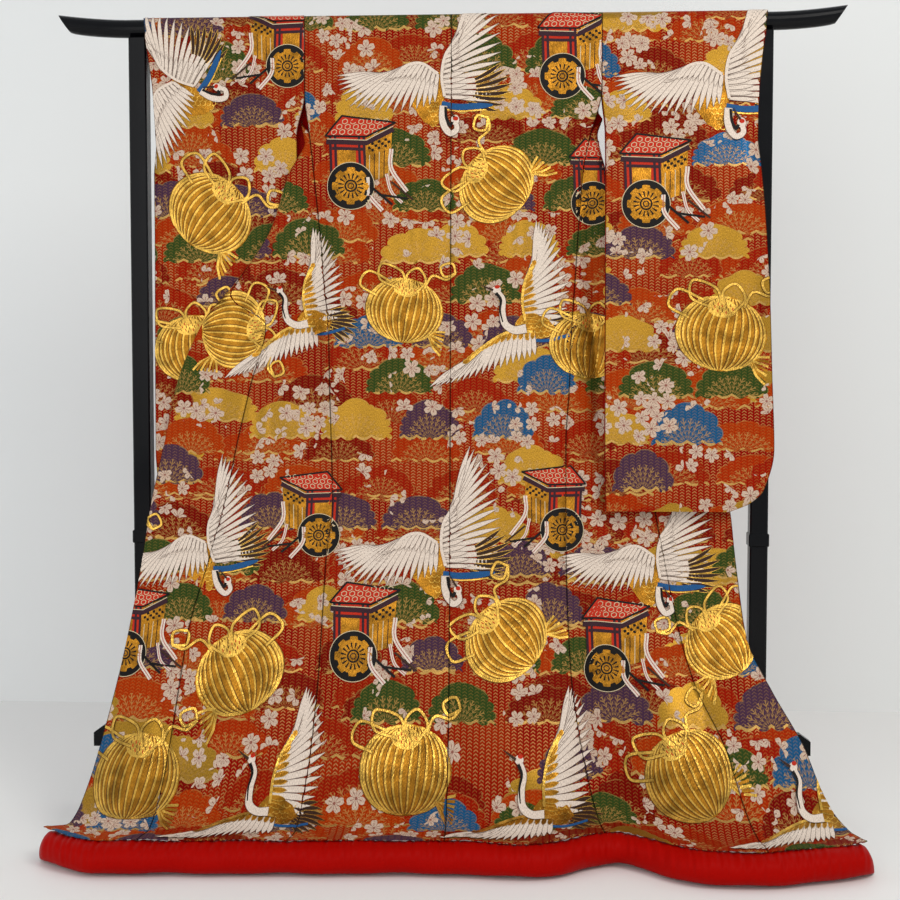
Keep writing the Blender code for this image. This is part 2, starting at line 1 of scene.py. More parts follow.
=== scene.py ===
"""An uchikake wedding kimono on its stand: the looks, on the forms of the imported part.

Metres and +Z up, in the part's own frame. The cloth pieces are shells on the same curves as the
solids, with finer creases; the brocade's small repeat is in its material, and its large motifs
are thin raised shapes drawn in the cloth's own plane and laid on it.
"""

import math

import bpy
import numpy as np
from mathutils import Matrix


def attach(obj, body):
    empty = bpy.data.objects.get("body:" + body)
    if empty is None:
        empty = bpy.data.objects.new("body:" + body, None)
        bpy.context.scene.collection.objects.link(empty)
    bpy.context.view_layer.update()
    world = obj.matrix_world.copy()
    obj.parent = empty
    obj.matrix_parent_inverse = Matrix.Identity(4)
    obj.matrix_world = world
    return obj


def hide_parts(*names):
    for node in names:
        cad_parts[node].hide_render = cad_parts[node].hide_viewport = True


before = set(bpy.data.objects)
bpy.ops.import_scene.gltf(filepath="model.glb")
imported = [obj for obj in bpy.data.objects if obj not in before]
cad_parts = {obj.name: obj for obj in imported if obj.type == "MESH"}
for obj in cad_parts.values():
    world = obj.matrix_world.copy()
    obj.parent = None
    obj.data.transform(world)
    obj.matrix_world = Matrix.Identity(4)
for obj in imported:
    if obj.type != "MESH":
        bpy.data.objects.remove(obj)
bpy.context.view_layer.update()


def linear(code):
    """An sRGB hex colour as linear red, green, blue and alpha."""
    shares = [int(code[i : i + 2], 16) / 255 for i in (0, 2, 4)]
    return tuple(c / 12.92 if c < 0.0405 else ((c + 0.055) / 1.055) ** 2.4 for c in shares) + (1,)


def add(tree, kind, *inputs, **settings):
    """A new node: a kind such as Math.ADD, its inputs in order (None leaves one) and settings."""
    kind, _, operation = kind.partition(".")
    made = tree.nodes.new("ShaderNode" + kind)
    if operation:
        made.operation = operation
    for key, value in settings.items():
        setattr(made, key, value)
    for socket, value in zip(made.inputs, inputs):
        if isinstance(value, bpy.types.Node):
            value = value.outputs[0]
        if isinstance(value, bpy.types.NodeSocket):
            tree.links.new(value, socket)
        elif value is not None:
            socket.default_value = value
    return made


def new_material(name, colour, roughness, metallic=0.0):
    """A material with its constants set on its Principled shader; gives both back."""
    material = bpy.data.materials.new(name)
    material.use_nodes = True
    shader = material.node_tree.nodes["Principled BSDF"]
    shader.inputs["Base Color"].default_value = linear(colour)
    shader.inputs["Roughness"].default_value = roughness
    shader.inputs["Metallic"].default_value = metallic
    return material, shader


# The stand: its solids are shown as they are, in polished urushi lacquer over wood, with a
# faint unevenness in the gloss
lacquer, shader = new_material("polished black urushi lacquer", "060608", 0.20)
tree = lacquer.node_tree
place = add(tree, "TexCoord")
cloudy = add(tree, "TexNoise", place.outputs["Object"], None, 9.0, 3.0)
gloss = add(tree, "MapRange", cloudy, 0.3, 0.7, 0.14, 0.28)
tree.links.new(gloss.outputs[0], shader.inputs["Roughness"])
shader.inputs["Specular IOR Level"].default_value = 0.16
for name in ("top_bar", "lower_rail", "upright_left", "upright_right", "foot_left", "foot_right"):
    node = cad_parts[name]
    node.data.materials.clear()
    node.data.materials.append(lacquer)


# How the cloth hangs: the sizes, tables and curves are the part's own, and a finer table of
# creases is added to its largest folds
STAND_Y = 0.130  # the plane of the bar and the uprights
BAR_Z = 1.685
BAR_RADIUS = 0.019
# The cloth
WALL = 0.0022
GAP = 0.0003
DRAPE_RADIUS = BAR_RADIUS + 0.0009 + WALL  # clear of the bar between its flats
SEAM_LEVEL = 1.456  # top of the side seams, and foot of the armholes
SLEEVE_SEAM_LEVEL = 1.540
SHOULDER_Z = 1.660  # the shoulder line lies just behind the bar
OKUMI_TOP = 1.400
FOLD_LEVEL = 1.060  # from here up, the front edge is folded in behind
COLLAR_FOOT = 0.750
COLLAR_WIDTH = 0.060
COLLAR_LIFT = 0.0032
COLLAR_GAP = 0.0006  # a little more than a seam, as it goes round the fold
NECK_ROOM = 0.0025
NECK_LEVEL = 1.580
NECK_HALF = 0.095
SLEEVE_FOOT = 0.660
CUFF_LEVEL = 1.440
CUFF_INSIDE_UPRIGHT = 0.640
SLEEVE_CLOSING = 0.030  # over this width the two walls come together at a closed edge
QUARTER_TURN = math.pi * DRAPE_RADIUS / 2  # along the cloth, from the top of the bar to its side
BAR_LEAD = QUARTER_TURN + BAR_Z - SHOULDER_Z  # and on down to the shoulder line
SLEEVE_HEIGHT = SHOULDER_Z - SLEEVE_FOOT
SLEEVE_LENGTH = BAR_LEAD + SLEEVE_HEIGHT  # along each wall from the top of the bar

# The hang: a level is the height, except that below 0.2 it runs on to the hem at 0
HANG = (
    # level, forward, height
    (0.00, -0.437, 0.0645),
    (0.04, -0.395, 0.0665),
    (0.08, -0.348, 0.0820),
    (0.13, -0.290, 0.1240),
    (0.20, -0.229, 0.2000),
    (0.36, -0.140, 0.3600),
    (0.55, -0.085, 0.5500),
    (0.80, -0.052, 0.8000),
    (1.20, -0.036, 1.2000),
    (1.45, -0.030, 1.4500),
    (1.60, -0.0225, 1.6000),
    (1.66, -DRAPE_RADIUS, 1.6600),
)

# Each side's cut: how far from the middle its seams and edges lie, at each level
CUT = {
    "left": (
        # level, side seam, okumi seam, outer edge, front edge under the fold
        (0.00, 0.280, 0.565, 0.768, 0.768),
        (0.05, 0.272, 0.556, 0.722, 0.722),
        (0.115, 0.270, 0.555, 0.711, 0.711),
        (0.20, 0.265, 0.553, 0.697, 0.697),
        (0.30, 0.262, 0.550, 0.683, 0.683),
        (0.40, 0.260, 0.542, 0.669, 0.669),
        (0.55, 0.254, 0.505, 0.649, 0.649),
        (0.66, 0.242, 0.475, 0.636, 0.636),
        (0.80, 0.245, 0.446, 0.606, 0.606),
        (0.92, 0.249, 0.418, 0.581, 0.581),
        (1.05, 0.252, 0.386, 0.526, 0.521),
        (1.14, 0.262, 0.410, 0.453, 0.351),
        (1.25, 0.272, 0.440, 0.378, 0.195),
        (1.37, 0.283, 0.540, 0.338, 0.118),
        (1.45, 0.292, 0.540, 0.300, 0.100),
        (1.54, 0.303, 0.540, 0.303, 0.095),
        (1.66, 0.303, 0.540, 0.303, 0.095),
    ),
    "right": (
        (0.00, 0.325, 0.622, 0.818, 0.818),
        (0.05, 0.317, 0.612, 0.795, 0.795),
        (0.115, 0.302, 0.595, 0.762, 0.762),
        (0.20, 0.281, 0.570, 0.728, 0.728),
        (0.30, 0.266, 0.520, 0.672, 0.672),
        (0.40, 0.259, 0.490, 0.626, 0.626),
        (0.55, 0.254, 0.460, 0.608, 0.608),
        (0.66, 0.253, 0.440, 0.598, 0.598),
        (0.80, 0.253, 0.420, 0.560, 0.560),
        (0.92, 0.260, 0.400, 0.515, 0.515),
        (1.05, 0.265, 0.385, 0.460, 0.450),
        (1.14, 0.271, 0.420, 0.422, 0.340),
        (1.25, 0.278, 0.450, 0.378, 0.200),
        (1.37, 0.287, 0.540, 0.335, 0.120),
        (1.45, 0.303, 0.540, 0.318, 0.100),
        (1.54, 0.326, 0.540, 0.326, 0.095),
        (1.66, 0.326, 0.540, 0.326, 0.095),
    ),
}
MIDDLE = (
    # level, across: the centre back seam
    (0.00, 0.018),
    (0.40, 0.010),
    (0.80, 0.008),
    (1.66, 0.009),
)
FOLD = (
    # level, radius of the turn at the outer edge
    (0.00, 0.0070),
    (1.30, 0.0070),
    (1.37, 0.0085),
    (1.45, 0.0140),
    (1.54, 0.0205),
    (1.62, 0.0222),
    (1.66, DRAPE_RADIUS),
)

# The sleeves: their outer edge, and the middle and half depth of the bag that they make
SLEEVES = {
    "left": (
        # level, outer edge, inner edge, middle, half depth
        (0.660, 0.560, 0.318, -0.0400, 0.0102),
        (0.676, 0.600, 0.318, -0.0370, 0.0102),
        (0.705, 0.622, 0.318, -0.0330, 0.0102),
        (0.790, 0.631, 0.318, -0.0245, 0.0102),
        (1.000, 0.632, 0.318, -0.0145, 0.0102),
        (1.200, 0.632, 0.320, -0.0068, 0.0102),
        (1.370, 0.633, 0.322, -0.0008, 0.0102),
        (1.450, 0.627, 0.322, -0.0010, 0.0140),
        (1.540, 0.630, 0.303, -0.0020, 0.0205),
        (1.620, 0.640, 0.303, 0.0, 0.0218),
        (1.660, 0.646, 0.303, 0.0, DRAPE_RADIUS),
        (1.700, 0.653, 0.303, 0.0, DRAPE_RADIUS),
    ),
    "right": (
        (0.660, 0.590, 0.335, -0.0965, 0.0102),
        (0.676, 0.631, 0.335, -0.0935, 0.0102),
        (0.705, 0.662, 0.334, -0.0900, 0.0102),
        (0.790, 0.684, 0.333, -0.0800, 0.0102),
        (0.940, 0.679, 0.333, -0.0725, 0.0102),
        (1.100, 0.674, 0.333, -0.0665, 0.0102),
        (1.280, 0.663, 0.333, -0.0610, 0.0105),
        (1.370, 0.656, 0.333, -0.0500, 0.0112),
        (1.450, 0.650, 0.333, -0.0260, 0.0160),
        (1.540, 0.654, 0.326, -0.0060, 0.0205),
        (1.620, 0.661, 0.326, 0.0, 0.0218),
        (1.660, 0.667, 0.326, 0.0, DRAPE_RADIUS),
        (1.700, 0.673, 0.326, 0.0, DRAPE_RADIUS),
    ),
}

# The line of the hem on the floor, seen from above
HEM = (
    # across, front of the roll
    (-0.780, -0.425),
    (-0.745, -0.450),
    (-0.700, -0.482),
    (-0.640, -0.503),
    (-0.450, -0.494),
    (-0.250, -0.484),
    (0.030, -0.470),
    (0.170, -0.481),
    (0.235, -0.464),
    (0.300, -0.414),
    (0.350, -0.393),
    (0.395, -0.422),
    (0.455, -0.474),
    (0.520, -0.503),
    (0.600, -0.506),
    (0.700, -0.479),
    (0.760, -0.460),
    (0.836, -0.425),
)
HEM_NOMINAL = -0.480
HEM_REACH = 0.420  # level at which the hem's line no longer tells
ROLL_DEPTH = 0.086
ROLL_HEIGHT = 0.062
ROLL_ENDS = (-0.776, 0.832)

# The largest folds: ridges towards the viewer, or troughs where the height is negative
FOLDS = (
    # across at top, top level, across at foot, foot level, half width, height
    (-0.215, 1.50, -0.200, 0.50, 0.034, 0.009),
    (-0.330, 1.28, -0.345, 0.72, 0.026, 0.009),
    (-0.400, 1.20, -0.420, 0.66, 0.030, 0.011),
    (0.235, 1.45, 0.228, 0.40, 0.032, 0.009),
    (0.262, 1.00, 0.345, 0.44, 0.030, 0.009),
    (0.305, 0.66, 0.345, 0.12, 0.032, -0.012),
    (-0.345, 0.58, -0.350, 0.04, 0.038, 0.010),
    (-0.270, 0.60, -0.275, 0.04, 0.034, -0.009),
    (-0.120, 0.80, -0.140, 0.04, 0.042, 0.010),
    (0.110, 0.90, 0.125, 0.04, 0.045, 0.011),
    (0.020, 0.70, 0.015, 0.04, 0.040, -0.008),
    (0.420, 0.52, 0.470, 0.04, 0.038, 0.012),
    (0.520, 0.50, 0.545, 0.06, 0.034, -0.009),
    (0.600, 0.46, 0.660, 0.06, 0.038, 0.010),
    (-0.600, 0.52, -0.620, 0.04, 0.038, 0.010),
    (-0.500, 0.60, -0.500, 0.06, 0.034, -0.008),
)
SEAM_SPREAD = 0.0045  # half width of the small valley that a seam draws in
CREASES = (
    # across at top, top level, across at foot, foot level, half width, height
    (-0.060, 1.58, -0.075, 0.90, 0.014, 0.0022),
    (-0.170, 1.55, -0.150, 0.95, 0.016, -0.0024),
    (0.075, 1.60, 0.090, 0.85, 0.015, -0.0022),
    (0.165, 1.52, 0.150, 0.75, 0.016, 0.0026),
    (-0.285, 1.40, -0.262, 0.90, 0.013, -0.0030),
    (-0.240, 1.20, -0.305, 0.62, 0.016, 0.0032),
    (-0.370, 1.10, -0.390, 0.55, 0.014, -0.0034),
    (-0.450, 0.98, -0.480, 0.42, 0.018, 0.0036),
    (-0.530, 0.90, -0.575, 0.30, 0.017, -0.0034),
    (0.300, 1.10, 0.390, 0.62, 0.015, -0.0034),
    (0.345, 0.92, 0.430, 0.50, 0.016, 0.0036),
    (0.470, 0.66, 0.540, 0.28, 0.018, 0.0034),
    (0.560, 0.60, 0.690, 0.20, 0.018, -0.0032),
    (-0.060, 0.62, -0.055, 0.10, 0.024, -0.0034),
    (0.060, 0.70, 0.070, 0.10, 0.024, 0.0032),
    (-0.200, 0.55, -0.215, 0.10, 0.024, 0.0034),
    (0.185, 0.60, 0.205, 0.10, 0.022, -0.0034),
    (-0.430, 0.50, -0.440, 0.08, 0.024, 0.0034),
    (-0.560, 0.40, -0.570, 0.08, 0.020, -0.0030),
    (0.300, 0.42, 0.335, 0.10, 0.018, -0.0046),
    (0.385, 0.46, 0.400, 0.10, 0.020, 0.0044),
    (0.298, 1.46, 0.318, 0.72, 0.017, -0.0140),
    (0.262, 1.38, 0.276, 0.70, 0.016, 0.0050),
    (-0.266, 1.44, -0.268, 0.80, 0.013, -0.0095),
    (-0.238, 1.42, -0.236, 0.74, 0.014, 0.0050),
)


def from_table(table, column, at):
    """The column's value at each level, on a smooth curve through the table's rows."""
    rows = np.array(table, float)
    x = rows[:, 0]
    y = rows[:, column]
    rise = np.diff(y) / np.diff(x)
    # The slope at a row is the harmonic mean of those beside it, or level where they turn
    both = rise[1:] * rise[:-1]
    mean = 2 * both / np.where(both > 0, rise[1:] + rise[:-1], 1)
    slope = np.concatenate([rise[:1], np.where(both > 0, mean, 0), rise[-1:]])
    at = np.clip(np.asarray(at, float), x[0], x[-1])
    i = np.clip(np.searchsorted(x, at, side="right") - 1, 0, len(x) - 2)
    width = x[i + 1] - x[i]
    t = (at - x[i]) / width
    # A cubic through both rows, with the slopes of their neighbours
    a = y[i] * (1 + 2 * t) * (1 - t) ** 2 + y[i + 1] * t * t * (3 - 2 * t)
    b = slope[i] * width * t * (1 - t) ** 2 - slope[i + 1] * width * t * t * (1 - t)
    return a + b


def ease(value, low, high):
    """0 below low, 1 above high, and a smooth step between them."""
    t = np.clip((value - low) / (high - low), 0, 1)
    return t * t * (3 - 2 * t)


def fold_relief(across, level):
    """How far the largest folds push the cloth forward: a bell across each, faded at its ends."""
    total = 0.0
    for top_x, top, foot_x, foot, half, height in FOLDS:
        along = (level - foot) / (top - foot)
        middle = foot_x + (top_x - foot_x) * np.clip(along, 0, 1)
        fade = ease(along, -0.05, 0.25) * (1 - ease(along, 0.65, 1.0))
        total = total + height * fade * np.exp(-(((across - middle) / half) ** 2))
    return total


def creases(across, level):
    """The finer creases, and a slow unevenness of a millimetre: sines that drift with height."""
    total = 0.0
    for top_x, top, foot_x, foot, half, height in CREASES:
        along = (level - foot) / (top - foot)
        middle = foot_x + (top_x - foot_x) * np.clip(along, 0, 1)
        middle = middle + 0.006 * np.sin(9 * level + 40 * top_x)
        fade = ease(along, -0.10, 0.30) * (1 - ease(along, 0.60, 1.05))
        total = total + height * fade * np.exp(-(((across - middle) / half) ** 2))
    slow = np.sin(31 * across + 3.1 * np.sin(2.7 * level)) * np.sin(7.3 * level + 9 * across)
    quick = np.sin(83 * across + 2.0 * np.sin(4.1 * level)) * np.sin(13 * level - 21 * across)
    hang = 1 - ease(level, 1.50, 1.64)
    for side, sign in (("left", -1), ("right", 1)):
        for column in (1, 2):
            seam = sign * from_table(CUT[side], column, level)
            # The okumi seam, in the second column, has turned under above the fold
            shown = 1 - ease(level, 1.04, 1.12) * (column - 1)
            total = total - 0.0024 * shown * np.exp(-(((across - seam) / SEAM_SPREAD) ** 2))
    middle = from_table(MIDDLE, 1, level)
    total = total - 0.0022 * np.exp(-(((across - middle) / SEAM_SPREAD) ** 2))
    total = total + 0.0011 * np.sin(88 * across + 3.0 * np.sin(5 * level)) * ease(level, 0.1, 0.4)
    total = total + 0.0009 * np.sin(31 * across + 17 * level + 2 * np.sin(9 * level))
    gathers = np.sin(330 * across + 2 * np.sin(47 * across)) * np.exp(-level / 0.022)
    return total + (0.0011 * slow + 0.0005 * quick) * hang + 0.0008 * gathers


def hung(across, level, behind=0.0):
    """The point of the hanging cloth at a level: the hang's curve, its folds and the hem's line."""
    forward = from_table(HANG, 1, level)
    height = from_table(HANG, 2, level)
    low = 1 - ease(level, 0.02, HEM_REACH)
    pushed = (from_table(HEM, 1, across) - HEM_NOMINAL) * low
    relief = fold_relief(across, level)
    steep = ease(level, 0.05, 0.30)
    fine = creases(across, level)
    y = STAND_Y + forward + pushed + behind - relief * (0.3 + 0.7 * steep) - fine * steep
    z = height + relief * (1 - steep) * 0.7 * ease(level, 0.0, 0.05) + fine * (1 - steep)
    return np.stack(np.broadcast_arrays(across, y, z), axis=-1)


def front_measures(side, level):
    """The side's turn radius, straight run, start and whole width of its front, at each level."""
    seam = from_table(CUT[side], 1, level)
    edge = from_table(CUT[side], 3, level)
    under = from_table(CUT[side], 4, level)
    # Round the neck the front edge follows the collar's arch
    rise = np.clip((level - NECK_LEVEL) / (SHOULDER_Z - NECK_LEVEL), 0, 0.9995)
    arch = NECK_HALF * np.sqrt(1 - rise**2) + NECK_ROOM * ease(rise, 0, 0.25)
    under = np.where(level > NECK_LEVEL, arch, under)
    radius = from_table(FOLD, 1, level)
    straight = np.maximum(edge - seam - radius, 0)
    # Low down the edge only curls; higher up it turns right back, and runs in behind
    curl = 1 + (math.pi - 1) * np.clip((level - COLLAR_FOOT) / (FOLD_LEVEL - COLLAR_FOOT), 0, 1)
    back = np.where(level > FOLD_LEVEL - 0.05, np.maximum(straight + seam - under, 0), 0)
    start = (straight + math.pi * radius) * ease(level, SEAM_LEVEL - 0.004, SEAM_LEVEL + 0.05)
    width = straight + radius * curl + back
    return seam, radius, straight, start, width


def front_path(side, along, level):
    """The cloth of a front at a distance along its row, out from the side seam.

    It runs straight out to the fold, turns back round a half circle and comes in behind itself.
    """
    sign = -1 if side == "left" else 1
    seam, radius, straight, start, width = front_measures(side, level)
    turned = along - straight
    angle = np.clip(turned / radius, 0, math.pi)
    back = np.maximum(turned - math.pi * radius, 0)
    out = seam + np.minimum(along, straight) + radius * np.sin(angle) - back
    curl = ease(level, 0.50, 0.62)
    out = np.where(turned > 0, out * curl + (seam + along) * (1 - curl), out)
    behind = radius * (1 - np.cos(angle)) * curl
    return hung(sign * out, level, behind)


def over_bar(across, distance):
    """Cloth over the bar: down the front for negative distances, over it, and down the back."""
    angle = np.clip(distance / DRAPE_RADIUS, -math.pi / 2, math.pi / 2)
    y = STAND_Y + DRAPE_RADIUS * np.sin(angle)
    z = BAR_Z + DRAPE_RADIUS * np.cos(angle) - np.maximum(np.abs(distance) - QUARTER_TURN, 0)
    return np.stack(np.broadcast_arrays(across, y, z), axis=-1)


def along_row(side, share, level, first, last):
    """The distance along the row for a share of a strip of it.

    Half the strip's share is kept for the straight run and a quarter for the turn, wherever
    they lie in it, so that the turn stays round.
    """
    seam, radius, straight, start, width = front_measures(side, level)
    least = np.minimum(0.010, (last - first) / 5)
    before = np.clip(straight, first + least, last - 2 * least)
    after = np.clip(straight + math.pi * radius, before + 0.8 * least, last - least)
    straight_part = first + (before - first) * share / 0.5
    turn_part = before + (after - before) * (share - 0.5) / 0.25
    under_part = after + (last - after) * (share - 0.75) / 0.25
    result = np.where(share > 0.5, turn_part, straight_part)
    return np.where(share > 0.75, under_part, result)


def front_start(side, level):
    """Where the front begins along the row: at the side seam, or in behind above it."""
    return front_measures(side, level)[3] + GAP / 2


def okumi_seam(side, level):
    """Where the okumi begins along the row: its seam, or the front's whole width above its top."""
    seam = from_table(CUT[side], 1, level)
    okumi = from_table(CUT[side], 2, level) - seam
    # Higher up it runs along the folded edge and round it, to end in a point at the collar
    _, radius, straight, _, width = front_measures(side, level)
    folded = straight + math.pi * radius * np.clip((level - 1.12) / (1.28 - 1.12), 0, 1)
    okumi = okumi + (folded - okumi) * ease(level, 1.05, 1.13)
    tip = width - 0.004
    okumi = okumi + (tip - okumi) * ease(level, 1.26, OKUMI_TOP)
    return np.minimum(okumi, tip)


def front_end(side, level):
    """Where the front ends along the row: at the okumi's seam, or at the collar above its top."""
    width = front_measures(side, level)[4]
    return np.where(level > OKUMI_TOP, width, okumi_seam(side, level)) - GAP / 2


def okumi_start(side, level):
    """Where the okumi's cloth begins, a gap beyond its seam."""
    return okumi_seam(side, level) + GAP / 2


def okumi_end(side, level):
    """Where the okumi ends along the row: at the collar or the front edge."""
    return front_measures(side, level)[4] - GAP / 2


def collar_strip(side, share, level):
    """The collar's leg beside a front edge: it goes on along the same row."""
    width = front_measures(side, level)[4]
    along = along_row(side, share, level, width + COLLAR_GAP, width + COLLAR_WIDTH)
    return front_path(side, along, level)


def collar_surface(share, run):
    """The whole collar: up the left leg, round the neck behind the bar and down the right leg.

    From -1 to 1 the run is the arch, and past that it is how far down a leg it goes, in metres.
    """
    level = NECK_LEVEL + 1 - np.abs(run)
    left = collar_strip("left", share, level)
    right = collar_strip("right", share, level)
    angle = (1 - np.clip(run, -1, 1)) * math.pi / 2
    across = NECK_HALF - GAP / 2 - (COLLAR_WIDTH - GAP / 2) * share
    up = SHOULDER_Z - NECK_LEVEL - 0.0010 - (COLLAR_WIDTH - 0.0050) * share
    height = NECK_LEVEL + up * np.sin(angle)
    behind = 2 * from_table(FOLD, 1, height) + from_table(HANG, 1, height)
    x = across * np.cos(angle)
    # Round the neck it lies just outside the fronts
    y = STAND_Y + behind - fold_relief(x, height) + COLLAR_LIFT * np.sin(angle)
    arch = np.stack(np.broadcast_arrays(x, y, height), axis=-1)
    result = np.where((run < -1)[..., None], left, arch)
    return np.where((run > 1)[..., None], right, result)


def sleeve_wall(side, share, run):
    """A sleeve as one cloth: up its front wall, over the bar and down its rear wall.

    The run is 0 at the top of the bar, and negative down the front.
    """
    sign = -1 if side == "left" else 1
    table = SLEEVES[side]
    rear = run > 0
    down = np.maximum(np.abs(run) - BAR_LEAD, 0)
    level = SHOULDER_Z - np.minimum(down, SLEEVE_HEIGHT)
    top = np.maximum(level, BAR_Z + 0.015 - np.abs(run))
    outer = from_table(table, 1, top)
    outer = np.where(rear & (level > 1.40), np.minimum(outer, CUFF_INSIDE_UPRIGHT), outer)
    inner = from_table(table, 2, level)
    seam = from_table(CUT[side], 1, level)
    inner = np.where(level >= SLEEVE_SEAM_LEVEL - 1e-6, seam, inner) + GAP / 2
    across = inner + (outer - inner) * share
    depth = from_table(table, 4, level)
    # The walls meet at the foot, and at the outer edge below the cuff
    from_edge = (1 - share) * (outer - inner)
    from_foot = level - SLEEVE_FOOT
    closed_edge = 1 - ease(level, CUFF_LEVEL - 0.02, CUFF_LEVEL + 0.02)
    shut = (1 - ease(from_edge, -0.012, SLEEVE_CLOSING)) * closed_edge
    shut = np.maximum(shut, 1 - ease(from_foot, -0.012, SLEEVE_CLOSING))
    least = WALL + 0.0010
    depth = depth + (least - depth) * np.clip(shut * 1.25, 0, 1)
    y = STAND_Y + from_table(table, 3, level) + np.where(rear, depth, -depth)
    walls = np.stack(np.broadcast_arrays(sign * across, y, level), axis=-1)
    return np.where((np.abs(run) < BAR_LEAD)[..., None], over_bar(sign * across, run), walls)


def back_point(across, run):
    """A point of a back panel, from its distance across and its run up from the hem."""
    low = hung(across, np.minimum(run, SHOULDER_Z))
    high = over_bar(across, run - SHOULDER_Z - BAR_LEAD)
    return np.where((run > SHOULDER_Z)[..., None], high, low)


def sleeve_creases(side, across, run):
    """How far a sleeve's wall bows in and out: long soft waves, fading at the bar and the foot."""
    phase = 0.8 if side == "left" else 2.3
    down = np.abs(run)
    fade = ease(down, 0.10, 0.35) * (1 - ease(down, 0.86, 1.0))
    wave = np.sin(26 * across + 2.2 * np.sin(3.0 * down + phase) + phase) * 0.0020
    small = np.sin(71 * across + 5 * down) * np.sin(11 * down + phase) * 0.0007
    return (wave + small) * fade


def sleeve_point(side, share, run):
    """A point of a sleeve with its soft waves, the same in both of its walls."""
    points = sleeve_wall(side, share, run)
    if side == "left":
        # Behind the foot of the armhole the rear wall reaches further in
        level = SHOULDER_Z + BAR_LEAD - run
        reach = 0.020 * ease(level, 1.36, 1.42) * (1 - ease(level, 1.500, 1.538)) * (run > 0)
        points[..., 0] = points[..., 0] + reach * (1 - share) ** 3
    moved = sleeve_creases(side, points[..., 0], run)
    return points + np.stack([np.zeros_like(moved), moved, np.zeros_like(moved)], axis=-1)


# The brocade: a vermilion silk ground with gold and cream wheat-ear columns, three layers of
# pine clouds and scattered cherry blossoms, all woven in, on the cloth's own metres
def pine_clouds(tree, across, up, cell, row, shift, seed, density):
    """One layer of pine clouds: a scalloped dome in the cells of a brick pattern.

    A cloud is where both the lobed arc's radius less the distance from its foot, and the height
    over its lobed underside, are above 0; the smaller of the two is how deep a point lies in it.
    """
    up = add(tree, "Math.ADD", up, shift)
    level = add(tree, "Math.DIVIDE", up, row)
    line = add(tree, "Math.FLOOR", level)
    odd = add(tree, "Math.MULTIPLY", line, 0.4142)
    along = add(tree, "Math.ADD", add(tree, "Math.DIVIDE", across, cell), odd)
    column = add(tree, "Math.FLOOR", along)
    which = add(tree, "CombineXYZ", column, line, float(seed))
    dice = add(tree, "TexWhiteNoise", which, noise_dimensions="3D")
    random = add(tree, "SeparateXYZ", dice.outputs["Color"])
    which = add(tree, "VectorMath.ADD", which, (7.7, 3.1, 5.3))
    other = add(tree, "TexWhiteNoise", which, noise_dimensions="3D")
    spare = add(tree, "SeparateXYZ", other.outputs["Color"])
    wide = add(tree, "MapRange", random.outputs[0], 0.0, 1.0, cell * 0.40, cell * 0.52)
    tall = add(tree, "MapRange", random.outputs[1], 0.0, 1.0, row * 0.60, row * 0.80)
    x = add(tree, "Math.SUBTRACT", add(tree, "Math.FRACT", along), 0.5)
    x = add(tree, "Math.DIVIDE", add(tree, "Math.MULTIPLY", x, cell), wide)
    y = add(tree, "Math.SUBTRACT", add(tree, "Math.FRACT", level), 0.17)
    y = add(tree, "Math.DIVIDE", add(tree, "Math.MULTIPLY", y, row), tall)
    angle = add(tree, "Math.ARCTAN2", y, x)
    reach = add(tree, "VectorMath.LENGTH", add(tree, "CombineXYZ", x, y)).outputs["Value"]
    # Lobes of uneven width round the arc, and shallower ones along the underside
    bent = add(tree, "Math.SINE", add(tree, "Math.MULTIPLY", angle, 2.0))
    bent = add(tree, "Math.MULTIPLY_ADD", bent, spare.outputs[2], angle)
    turn = add(tree, "Math.ADD", add(tree, "Math.MULTIPLY", bent, 5.0), spare.outputs[0])
    lobe = add(tree, "Math.ABSOLUTE", add(tree, "Math.SINE", turn))
    edge = add(tree, "Math.MULTIPLY_ADD", add(tree, "Math.SQRT", lobe), 0.13, 0.87)
    inside = add(tree, "Math.SUBTRACT", edge, reach)
    under = add(tree, "Math.ABSOLUTE", add(tree, "Math.SINE", add(tree, "Math.MULTIPLY", x, 7.5)))
    floor = add(tree, "Math.MULTIPLY_ADD", under, 0.10, 0.10)
    floor = add(tree, "Math.ADD", floor, y)
    depth = add(tree, "Math.MINIMUM", inside, floor)
    there = add(tree, "Math.LESS_THAN", random.outputs[2], density)
    mask = add(tree, "Math.MULTIPLY", add(tree, "Math.GREATER_THAN", depth, 0.0), there)
    under = add(tree, "Math.LESS_THAN", floor, 0.08)
    rim = add(tree, "Math.LESS_THAN", inside, 0.030)
    # The needles: boughs that fan up from the middle of the foot, with twigs to both sides
    lift = add(tree, "Math.ADD", y, 0.16)
    fan = add(tree, "Math.ARCTAN2", lift, x)
    far = add(tree, "VectorMath.LENGTH", add(tree, "CombineXYZ", x, lift)).outputs["Value"]
    bough = add(tree, "Math.FRACT", add(tree, "Math.MULTIPLY", fan, 3.18))
    aside = add(tree, "Math.ABSOLUTE", add(tree, "Math.SUBTRACT", bough, 0.5))
    twig = add(tree, "Math.MULTIPLY_ADD", aside, -1.9, add(tree, "Math.MULTIPLY", far, 7.5))
    twig = add(tree, "Math.LESS_THAN", add(tree, "Math.FRACT", twig), 0.36)
    lines = add(tree, "Math.MULTIPLY", twig, add(tree, "Math.LESS_THAN", aside, 0.38))
    stem = add(tree, "Math.LESS_THAN", aside, 0.07)
    near = add(tree, "Math.LESS_THAN", far, 0.72)
    near = add(tree, "Math.MULTIPLY", near, add(tree, "Math.GREATER_THAN", inside, 0.12))
    hatch = add(tree, "Math.MULTIPLY", add(tree, "Math.MAXIMUM", lines, stem), near)
    rim = add(tree, "Math.MULTIPLY", rim, 0.30)
    outline = add(tree, "Math.MAXIMUM", add(tree, "Math.MULTIPLY", under, 0.9), rim)
    return mask, outline, hatch, spare.outputs[1]


